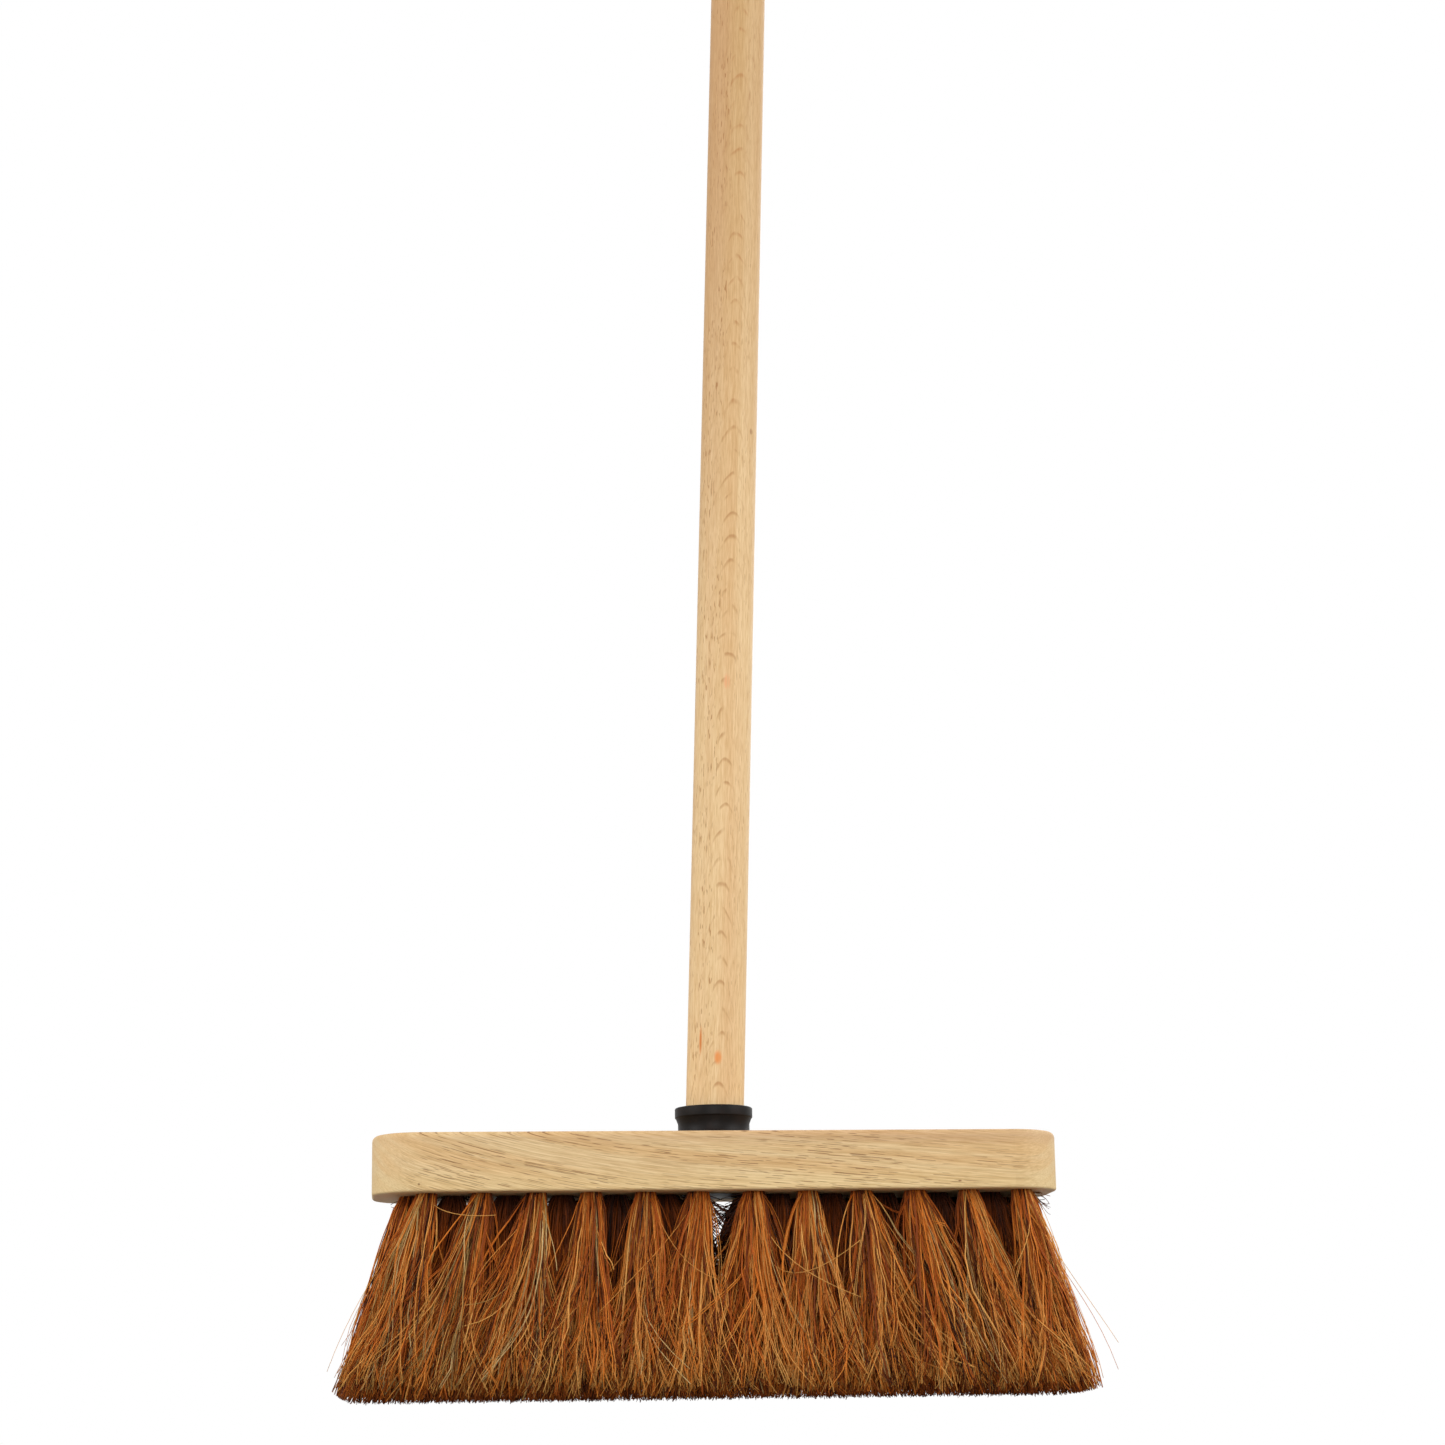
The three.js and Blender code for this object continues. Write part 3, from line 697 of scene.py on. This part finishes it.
# coir: 48 tufts of fibres, six to a piece
coir = {
    "seed": 48,
    "strandsInTuft": 208,
    "fibresInStrand": 2,
    "fibreSides": 3,
    "apart": (0.16 * mm, 0.7 * mm),
    "mostApart": 1.8,
    "stepsBelowWood": 11,
    "sunkInHole": 7 * mm,
    "bundleRadius": 4.1 * mm,
    "shortBy": 9 * mm,
    "shortest": 26 * mm,
    "raggedShare": 1.3,
    "mostRagged": 0.3,
    "mostSlanted": 0.5,
    "tipTrim": 0.5 * mm,
    "floorClearance": 0.15 * mm,
    "locksInTuft": 17,
    "lockSpread": 0.5,
    "lockBlur": 0.3,
    "lockScatter": 0.2,
    "ownShare": 0.8,
    "ownScatter": 0.28,
    "lockPull": 0.74,
    "mostOpen": 1.05,
    "narrowing": 0.5,
    "depthFan": 8,
    "leanCurve": 1.1,
    "radius": (0.12, 0.38),
    "thinnessCurve": 1.6,
    "tipThinning": 0.7,
    # waves: their size, fewest and most turns
    "lockWaves": ((1.1 * mm, 0.3, 1.1), (0.4 * mm, 1.2, 2.8)),
    "ownWaves": ((0.75 * mm, 0.5, 1.6), (0.26 * mm, 2.2, 4.8)),
    "edgeWave": (1.1 * mm, 0.8, 2.6),
    "waveSpread": 0.5,
    "kinks": 2,
    "kink": (0.14, 0.1),
    "kinkHeight": (0.15, 0.95),
    "bow": 1.3 * mm,
    "tipCurl": 3.6 * mm,
    "curlCurve": 3.5,
    "curlyShare": 0.38,
    "curlyBow": 3.2 * mm,
    "curlyTip": 9 * mm,
    "strayShare": 0.06,
    "strayFan": 0.5,
    "strayBow": 5 * mm,
    # how far out the bristles reach, at the wood and at the floor
    "ends": ((130.5 * mm, 152.3 * mm), (128.5 * mm, 149.5 * mm)),
    "sides": (32 * mm, 41 * mm),
    "edgeMargin": 5 * mm,
    "edgeFrizz": 1.5 * mm,
    "mostFrizz": 4 * mm,
    "cornerRise": (143 * mm, 12 * mm, 5 * mm),
    "mostCornerShare": 1.2,
    # tones run from 0, deep brown, to 1, pale
    "usualTone": (0.44, 0.09),
    "mostUsual": 0.72,
    "lockTone": 0.07,
    "strandTone": 0.035,
    "strandToneBelow": 0.7,
    "curlyTone": 0.14,
    "curlyToneBelow": 0.6,
    # one draw from 0 to 1 tells pale, straw, dark, usual and grey fibres apart, in this order
    "paleBelow": 0.02,
    "paleTone": (0.95, 1.0),
    "strawBelow": 0.34,
    "strawTone": (0.6, 0.78),
    "darkBelow": 0.6,
    "darkerBy": 0.24,
    "greyFrom": 0.992,
    "greyInLock": 0.5,
    "greyTone": (0.9, 0.94),
    "lightenedTones": (0.35, 0.63),
    # the painted shade deep in the head, by its places along x and y
    "shadeInset": (10 * mm, 6 * mm),
    "shadeFade": (10 * mm, 9 * mm),
    "shadeDepth": 24 * mm,
    "shadeShare": 0.85,
    "tipShadeHeight": 3 * mm,
    "colours": (
        (0, (46, 20, 7)), (0.13, (90, 40, 10)), (0.28, (140, 68, 18)), (0.45, (192, 96, 26)),
        (0.62, (232, 134, 42)), (0.76, (242, 180, 96)), (0.85, (242, 180, 96)),
        (0.92, (166, 132, 74)), (1, (240, 206, 142)),
    ),
    "dustShadow": paint(205, 196, 186),
    "specular": 0.2,
    "grainDepth": 0.05 * mm,
    "blotches": ((190, 190, 90), 2, 0.6, (2, 3, 5)),
    "grains": ((2500, 2500, 600), 2, 0.6, (8, 3, 1)),
}
innerRow = {
    "freeLength": 83.6 * mm,
    "shortShare": 0.25,
    "opensEarly": {},
    "tipShade": 0.48,
    "tipLight": 0,
    "scatter": 0.9 * mm,
    "grey": (0,) * 12,
    "flareCurve": (0.85, 1.2),
    "swell": 0.6,
}
rows = {
    # each tuft's lean along the head and half the width of its fan, at the floor in mm;
    # opensEarly is by the tuft's number from 0
    "front_row": {
        "lean": (-19, -14, -11, -3, -3, -9, -1, 2, 12, 13, 17, 15),
        "fan": (16, 15, 21, 15, 15, 14, 20, 14, 24, 17, 17, 16),
        "forward": -9,
        "freeLength": 79.6 * mm,
        "shortShare": 0.4,
        "opensEarly": {6: 0.4},
        "tipShade": 0,
        "tipLight": 0.21,
        "scatter": 2.4 * mm,
        "grey": (0.1, 0.08, 0.01, 0, 0, 0, 0.01, 0.02, 0, 0.02, 0.04, 0.02),
        "flareCurve": (1.1, 1.55),
        "swell": 0.25,
    },
    "front_inner_row": {
        **innerRow,
        "lean": (-13, -9, -7, -4, -1, 9, -9, 0, 4, 6, 9, 13),
        "fan": (12, 13, 13, 14, 14, 16, 16, 14, 14, 13, 13, 12),
        "forward": -2.5,
    },
    "back_inner_row": {
        **innerRow,
        "lean": (-12, -8, -6, -5, 0, 10, -10, 1, 3, 7, 8, 13),
        "fan": (12, 13, 14, 13, 13, 16, 16, 13, 14, 13, 13, 12),
        "forward": 2.5,
    },
    "back_row": {
        "lean": (-20, -14, -9, -5, -1, 4, -4, 4, 9, 12, 17, 20),
        "fan": (15, 15, 18, 15, 15, 16, 17, 15, 19, 16, 15, 17),
        "forward": 8.5,
        "freeLength": 81 * mm,
        "shortShare": 0.3,
        "opensEarly": {},
        "tipShade": 0.48,
        "tipLight": 0,
        "scatter": 1.2 * mm,
        "grey": (0.02,) * 12,
        "flareCurve": (0.95, 1.4),
        "swell": 0.5,
    },
}
# tuft, two points that the fibre bends towards and its tip, as x and z in mm, its radius and tone
frontFlyaways = (
    (1, (-116, 74), (-104, 71.5), (-91, 72), 0.24, 0.8),
    (1, (-131, 60), (-146, 42), (-156.5, 12), 0.16, 0.8),
    (1, (-128, 62), (-139, 38), (-151, 22), 0.14, 0.5),
    (1, (-117, 44), (-112, 26), (-121.6, 7.7), 0.22, 0.78),
    (2, (-104, 72), (-103.6, 66), (-103, 50), 0.28, 0.97),
    (3, (-78, 52), (-84, 38), (-103, 37), 0.2, 0.9),
    (3, (-76, 58), (-80, 33), (-103, 29), 0.26, 0.8),
    (3, (-72, 74), (-67, 62), (-66.8, 50), 0.24, 0.96),
    (3, (-80, 62), (-96, 60), (-101, 40), 0.2, 0.7),
    (5, (-24, 70), (-20, 52), (-3, 46), 0.2, 0.72),
    (6, (-16, 66), (-34, 50), (-50, 34), 0.22, 0.7),
    (7, (14, 38), (34, 45), (54.5, 61), 0.24, 0.75),
    (7, (17, 58), (32, 48), (54, 38.5), 0.24, 0.8),
    (7, (20, 60), (24, 30), (42, 12), 0.26, 0.82),
    (7, (13, 70), (12, 40), (7.7, 11.7), 0.28, 0.8),
    (7, (18, 64), (19, 44), (31.5, 25), 0.24, 0.94),
    (9, (56, 52), (64, 20), (99, 10.6), 0.34, 0.84),
    (9, (54, 30), (60, 19), (86, 10), 0.24, 0.7),
    (9, (64, 60), (72, 30), (96, 18), 0.24, 0.8),
    (10, (76, 44), (80, 24), (98.5, 10.6), 0.34, 0.84),
    (10, (84, 62), (98, 30), (112, 4), 0.26, 0.98),
    (12, (127, 76), (127, 64), (116.5, 50), 0.22, 0.8),
    (12, (131, 62), (150, 34), (157.5, 19.5), 0.15, 0.8),
    (12, (133, 52), (148, 40), (157, 9), 0.16, 0.6),
)
flyaways = {
    "front_row": frontFlyaways,
    "back_row": ((12, (133, 66), (146, 42), (153, 30), 0.15, 0.7),),
}
flyawaySpread = (1.25, 1.65, 1.95)
crossFibres = {
    # fibres that leave their tuft sideways; heights in mm over the floor
    "rootHeight": 82,
    "rise": (-3, 5),
    "spread": (1, 0.85, 0.7),
}
gapFibres = {
    # thin fibres that cross the gap in the middle of the head, with the ways that they go by tuft; their
    # dark tones are painted shade
    "rows": ("front_row", "back_row", "front_inner_row", "back_inner_row"),
    "sides": {6: (1, 1), 7: (-1, -1)},
    "each": 15,
    "reach": (8, 32),
    "height": (46, 78),
    "radius": (0.2, 0.33),
    # darkest tones: painted shade of the middle of the head
    "tone": (0, 0.1),
}
rootFluff = {
    # fibres that stand out sideways close under the wood, in the rows behind the front one; their dark tones
    # are painted shade
    "rows": ("front_inner_row", "back_inner_row", "back_row"),
    "sides": dict.fromkeys(range(1, 13), (-1, 1)),
    "each": 20,
    "reach": (3, 9),
    "height": (69, 81),
    "radius": (0.13, 0.22),
    # dark tones: painted shade close under the wood
    "tone": (0, 0.3),
}


def coirMaterial():
    material, tree, shader = newMaterial("coirFibre")
    tone = put(tree, "Attribute", {}, attribute_name="tone").outputs["Fac"]
    place = objectPlace(tree)
    blotch = noiseAt(tree, place, *coir["blotches"])
    fine = noiseAt(tree, place, *coir["grains"])
    varied = calc(tree, "ADD", tone, scaled(tree, blotch, 0.16, -0.08))
    colour = ramp(tree, varied, *((stop, paint(*fibre)) for stop, fibre in coir["colours"]))
    colour = shadedBy(tree, 0.8, colour, fine, 0.3, 0.65, coir["dustShadow"])
    finishSurface(tree, shader, colour, scaled(tree, fine, 0.2, 0.45), coir["specular"],
                  fine, coir["grainDepth"], 0.4)
    return material


def fibreWaves(random, count, share, size, fewest, most):
    # sideways sway of each fibre or lock, none at the wood
    height = size * random.lognormal(0, coir["waveSpread"], (count, 1))
    turns = random.uniform(fewest, most, (count, 1))
    phase = random.uniform(0, 2 * math.pi, (count, 1))
    sway = np.sin(2 * math.pi * turns * share[None] + phase) - np.sin(phase)
    return height * sway * share[None] ** 0.5


def fibreTones(random, nearest, greyShare):
    # a few locks are grey-green, the rest are mixed
    count, locks = len(nearest), coir["locksInTuft"]
    kind = random.uniform(0, 1, count)
    tone = random.normal(*coir["usualTone"], count) + random.normal(0, coir["lockTone"], locks)[nearest]
    tone = np.where(kind < coir["darkBelow"], tone - coir["darkerBy"], tone)
    straw, tone = random.uniform(*coir["strawTone"], count), np.clip(tone, 0, coir["mostUsual"])
    tone = np.where(kind < coir["strawBelow"], straw, tone)
    tone = np.where(kind < coir["paleBelow"], random.uniform(*coir["paleTone"], count), tone)
    isGrey = (random.uniform(0, 1, locks) < greyShare)[nearest]
    isGrey &= random.uniform(0, 1, count) < coir["greyInLock"]
    return np.where(isGrey | (kind > coir["greyFrom"]), random.uniform(*coir["greyTone"], count), tone)


def heldInside(random, points, woodBottom):
    # squeezes the fibres that would stand out past the bristles' ends, front or back
    share = 1 - points[:, 1:, 2] / woodBottom
    frizz = np.minimum(random.exponential(coir["edgeFrizz"], (len(points), 1)), coir["mostFrizz"])
    margin, (size, fewest, most) = coir["edgeMargin"], coir["edgeWave"]
    end = int(points[:, 1, 0].mean() > 0)
    for axis, (top, bottom) in enumerate((coir["ends"][end], coir["sides"])):
        out = points[:, 1:, axis]
        turns = random.uniform(fewest, most, frizz.shape)
        phase = random.uniform(0, 2 * math.pi, frizz.shape)
        wave = size * share * np.sin(2 * math.pi * turns * share + phase)
        edge = top + (bottom - top) * share + frizz + wave
        over = np.maximum(np.abs(out) - edge + margin, 0)
        out -= np.sign(out) * (over - margin * (1 - np.exp(-over / margin)))


def raisedAtCorners(points, woodBottom):
    # the last fibres at the head's ends are trimmed a little shorter
    begins, reach, most = coir["cornerRise"]
    past = np.clip((np.abs(points[:, -1, 0]) - begins) / reach, 0, coir["mostCornerShare"])
    shorter = np.minimum(1, (woodBottom - most * past ** 2) / (woodBottom - points[:, -1, 2]))
    below = np.minimum(points[..., 2] - woodBottom, 0)
    points[..., 2] += below * (shorter[:, None] - 1)


def tonesWithPaintedShade(points, tone, woodBottom, tipShade, tipLight):
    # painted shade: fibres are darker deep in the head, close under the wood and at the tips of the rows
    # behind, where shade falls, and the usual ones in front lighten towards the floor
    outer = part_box("stock")[1]
    below = np.clip(woodBottom - points[..., 2], 0, None)
    inside = 1
    for axis in (1, 0):
        within = outer[axis] - coir["shadeInset"][axis] - np.abs(points[..., axis])
        inside = inside * np.clip(within / coir["shadeFade"][axis], 0, 1)
    tips = tipShade * np.exp(-np.clip(points[..., 2], 0, None) / coir["tipShadeHeight"])
    lowest, highest = coir["lightenedTones"]
    isLightened = (tone > lowest) & (tone < highest)
    tones = tone[:, None] + tipLight * isLightened[:, None] * (below / woodBottom) ** 2
    # painted shade deep in the head and at the tips of the rows behind
    return tones * (1 - coir["shadeShare"] * inside * np.exp(-below / coir["shadeDepth"])) * (1 - tips)


def strandWays(random, count):
    # where each strand starts in the round bundle, its lock and the way that it goes out
    angle = random.uniform(0, 2 * math.pi, count)
    reach = np.sqrt(random.uniform(0, 1, count))
    bundle = np.stack([reach * np.cos(angle), reach * np.sin(angle)], 1)
    locks = random.normal(0, coir["lockSpread"], (coir["locksInTuft"], 2))
    apart = ((bundle[:, None] - locks[None]) ** 2).sum(2)
    nearest = np.argmin(apart + random.uniform(0, coir["lockBlur"], (count, len(locks))), 1)
    lockWay = (locks + random.normal(0, coir["lockScatter"], locks.shape))[nearest]
    own = bundle * coir["ownShare"] + random.normal(0, coir["ownScatter"], (count, 2))
    way = lockWay * coir["lockPull"] + own * (1 - coir["lockPull"])
    stray = random.uniform(0, 1, count) < coir["strayShare"]
    curly = random.uniform(0, 1, count) < coir["curlyShare"]
    way = np.tanh(way) * coir["mostOpen"] + stray[:, None] * random.normal(0, coir["strayFan"], (count, 2))
    return bundle, nearest, way, stray, curly


def strandDrops(random, shape, sideways, woodBottom):
    # how far each strand comes down, from its length and how far it goes sideways
    count = len(sideways)
    length = shape["freeLength"] + random.normal(0, shape["scatter"], count)
    isShort = random.uniform(0, 1, count) < shape["shortShare"]
    length = np.maximum(length - isShort * random.exponential(coir["shortBy"], count), coir["shortest"])
    drop = np.sqrt(np.maximum(length ** 2 - sideways, (length * coir["mostSlanted"]) ** 2))
    trimmed = woodBottom - coir["floorClearance"] - random.exponential(coir["tipTrim"], count)
    return np.minimum(drop, trimmed)


def swayStrands(random, points, share, nearest, stray, curly, drop):
    # bows, waves, curls and kinks below the wood
    count = len(points)
    bow = np.where(stray, coir["strayBow"], np.where(curly, coir["curlyBow"], coir["bow"]))
    bow *= random.normal(0, 1, count)
    curl = np.where(curly, coir["curlyTip"], coir["tipCurl"])[:, None]
    bowWay = random.uniform(0, 2 * math.pi, count)
    arch = (4 * share * (1 - share))[None]
    for axis, turned in ((0, np.cos(bowWay)), (1, np.sin(bowWay))):
        out = points[:, 1:, axis]
        for wave in coir["lockWaves"]:
            out += fibreWaves(random, coir["locksInTuft"], share, *wave)[nearest]
        for wave in coir["ownWaves"]:
            out += fibreWaves(random, count, share, *wave)
        out += (bow * turned)[:, None] * arch
        out += random.normal(0, 1, (count, 1)) * curl * share[None] ** coir["curlCurve"]
        for turn in range(coir["kinks"]):
            height = random.uniform(*coir["kinkHeight"], (count, 1))
            slant = random.normal(0, coir["kink"][axis], (count, 1))
            out += np.maximum(share[None] - height, 0) * drop[:, None] * slant


def growTuft(random, foot, woodBottom, number, shape):
    # returns the fibres' points from inside the hole to the tip, their radii and their tones
    count, steps, each = coir["strandsInTuft"], coir["stepsBelowWood"], coir["fibresInStrand"]
    bundle, nearest, way, stray, curly = strandWays(random, count)
    start = bundle * coir["bundleRadius"]
    leaning = np.array([shape["lean"][number], shape["forward"]]) * mm
    opening = way * np.array([shape["fan"][number], coir["depthFan"]]) * mm - start * coir["narrowing"]
    drop = strandDrops(random, shape, ((leaning + opening) ** 2).sum(1), woodBottom)
    share = np.linspace(0, 1, steps + 1)
    opensEarly = shape["opensEarly"].get(number, 0)
    flare = share[None] ** (random.uniform(*shape["flareCurve"], (count, 1)) - opensEarly)
    points = np.zeros((count, steps + 2, 3))
    points[:, 1:, :2] = start[:, None] + opening[:, None] * flare[..., None]
    points[:, 1:, :2] += leaning * share[None, :, None] ** coir["leanCurve"]
    points[:, 2:, :2] += (start * shape["swell"])[:, None]
    swayStrands(random, points, share, nearest, stray, curly, drop)
    points[:, 1:, 2] = -drop[:, None] * share[None]
    points[:, 0, :2] = start
    # a strand is a few fibres side by side, which part towards their tips
    points = np.repeat(points, each, 0)
    apart = np.clip(random.normal(0, 1, (len(points), 1, 2)), -coir["mostApart"], coir["mostApart"])
    near, far = coir["apart"]
    points[:, 1:, :2] += apart * (near + (far - near) * share[None, :, None])
    points[:, 0, :2] += apart[:, 0] * near
    ragged = shape["scatter"] / shape["freeLength"] * coir["raggedShare"]
    shorter = np.minimum(random.exponential(ragged, (len(points), 1)), coir["mostRagged"])
    points[:, 1:, 2] *= 1 - shorter
    points[:, 0, 2] = coir["sunkInHole"]
    points += np.array([foot.x, foot.y, woodBottom])
    heldInside(random, points, woodBottom)
    raisedAtCorners(points, woodBottom)
    thin, thick = coir["radius"]
    radius = thin + (thick - thin) * random.uniform(0, 1, (len(points), 1)) ** coir["thinnessCurve"]
    radii = radius * np.linspace(1, coir["tipThinning"], steps + 2)[None]
    tone = fibreTones(random, nearest, shape["grey"][number])
    isRaised = curly & (tone < coir["curlyToneBelow"])
    tone = np.repeat(np.where(isRaised, tone + coir["curlyTone"], tone), each)
    tone = tone + random.normal(0, coir["strandTone"], len(tone)) * (tone < coir["strandToneBelow"])
    return points, radii, tonesWithPaintedShade(points, tone, woodBottom, shape["tipShade"], shape["tipLight"])


def bentFibre(foot, woodBottom, places, radius, tone, spread):
    # one fibre from its hole along a smooth bend, spread outwards by shares of its foot's y
    steps = coir["stepsBelowWood"]
    share = np.linspace(0, 1, steps + 1)[:, None]
    ends = [(foot.x, foot.y, woodBottom)]
    ends += [(x * mm, y, z * mm) for (x, z), y in zip(places, foot.y * np.array(spread))]
    weights = ((1 - share) ** 3, 3 * share * (1 - share) ** 2, 3 * share ** 2 * (1 - share), share ** 3)
    below = sum(weight * np.array(end)[None] for weight, end in zip(weights, ends))
    inside = np.array([[foot.x, foot.y, woodBottom + coir["sunkInHole"]]])
    radii = radius * np.linspace(1, coir["tipThinning"], steps + 2)
    return np.concatenate([inside, below])[None], radii[None], np.full((1, steps + 2), tone)


def crossFibre(random, foot, woodBottom, side, kind):
    # a thin fibre that leaves its tuft sideways
    reach, low = side * random.uniform(*kind["reach"]), random.uniform(*kind["height"])
    start, top = foot.x / mm, crossFibres["rootHeight"]
    first = (start + reach * random.uniform(0.1, 0.5), top - (top - low) * random.uniform(0.2, 0.6))
    second = (start + reach * random.uniform(0.5, 0.8), low + random.uniform(*crossFibres["rise"]))
    places = (first, second, (start + reach, low))
    radius, tone = random.uniform(*kind["radius"]), random.uniform(*kind["tone"])
    return bentFibre(foot, woodBottom, places, radius, tone, crossFibres["spread"])


def growFlyaways(random, feet, woodBottom):
    # returns each fibre with its row and the number of its tuft, from 1
    grown = []
    for row, fibres in flyaways.items():
        for number, *places, radius, tone in fibres:
            fibre = bentFibre(feet[row][number - 1], woodBottom, places, radius, tone, flyawaySpread)
            grown.append((row, number, fibre))
    for kind in (gapFibres, rootFluff):
        for row in kind["rows"]:
            for number, sides in kind["sides"].items():
                for turn in range(kind["each"]):
                    foot, side = feet[row][number - 1], sides[turn % 2]
                    grown.append((row, number, crossFibre(random, foot, woodBottom, side, kind)))
    return grown


def fibreProfile():
    # cross-section that the fibres are drawn with, one millimetre in radius
    curve = bpy.data.curves.new("fibreProfile", "CURVE")
    curve.dimensions = "2D"
    line = curve.splines.new("POLY")
    line.points.add(coir["fibreSides"] - 1)
    for corner, point in enumerate(line.points):
        angle = corner * 2 * math.pi / coir["fibreSides"]
        point.co = (mm * math.cos(angle), mm * math.sin(angle), 0, 1)
    line.use_cyclic_u = True
    return addObject("fibreProfile", curve)


def makeFibres(name, tufts, profile, material):
    curve = bpy.data.curves.new(name, "CURVE")
    curve.dimensions = "3D"
    curve.bevel_mode = "OBJECT"
    curve.bevel_object = profile
    tones, pointCount = [], coir["stepsBelowWood"] + 2
    for points, radii, tone in tufts:
        tones.append(tone)
        for path, thickness in zip(points, radii):
            spline = curve.splines.new("POLY")
            spline.points.add(pointCount - 1)
            spline.points.foreach_set("co", np.c_[path, np.ones(pointCount)].ravel())
            spline.points.foreach_set("radius", thickness)
    drawn = addObject(name + "_curve", curve)
    mesh = meshAfterModifiers(drawn)
    bpy.data.objects.remove(drawn)
    bm = bmesh.new()
    bm.from_mesh(mesh)
    bmesh.ops.edgeloop_fill(bm, edges=[edge for edge in bm.edges if edge.is_boundary])
    bmesh.ops.recalc_face_normals(bm, faces=bm.faces)
    for face in bm.faces:
        face.smooth = len(face.verts) == 4
    bm.to_mesh(mesh)
    bm.free()
    mesh.name = name
    values = np.repeat(np.concatenate(tones).ravel(), coir["fibreSides"]).astype(np.float32)
    if len(values) != len(mesh.vertices):
        raise RuntimeError(f"{name}: {len(mesh.vertices)} points for {len(values)} tones")
    mesh.attributes.new("tone", "FLOAT", "POINT").data.foreach_set("value", values)
    mesh.materials.clear()
    mesh.materials.append(material)
    return addObject(name, mesh)


def makeBristles():
    random = np.random.default_rng(coir["seed"])
    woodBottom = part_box("stock")[0].z
    feet = tuftFeet()
    tufts = {}
    for row, shape in rows.items():
        for number, foot in enumerate(feet[row]):
            side = "left" if foot.x < 0 else "right"
            grown = growTuft(random, foot, woodBottom, number, shape)
            tufts.setdefault((row, side), []).append(grown)
    for row, number, fibre in growFlyaways(random, feet, woodBottom):
        tufts[row, "left" if number <= 6 else "right"].append(fibre)
    profile, material = fibreProfile(), coirMaterial()
    for (row, side), grown in tufts.items():
        piece = makeFibres(f"{row}_{side}_coir", grown, profile, material)
        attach(piece, "head")
        node = row.split("_")[0] + "_bristles" if "inner" not in row else side + "_inner_bristles"
        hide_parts(node)
    bpy.data.objects.remove(profile)


makeBristles()
print("bristles grown")
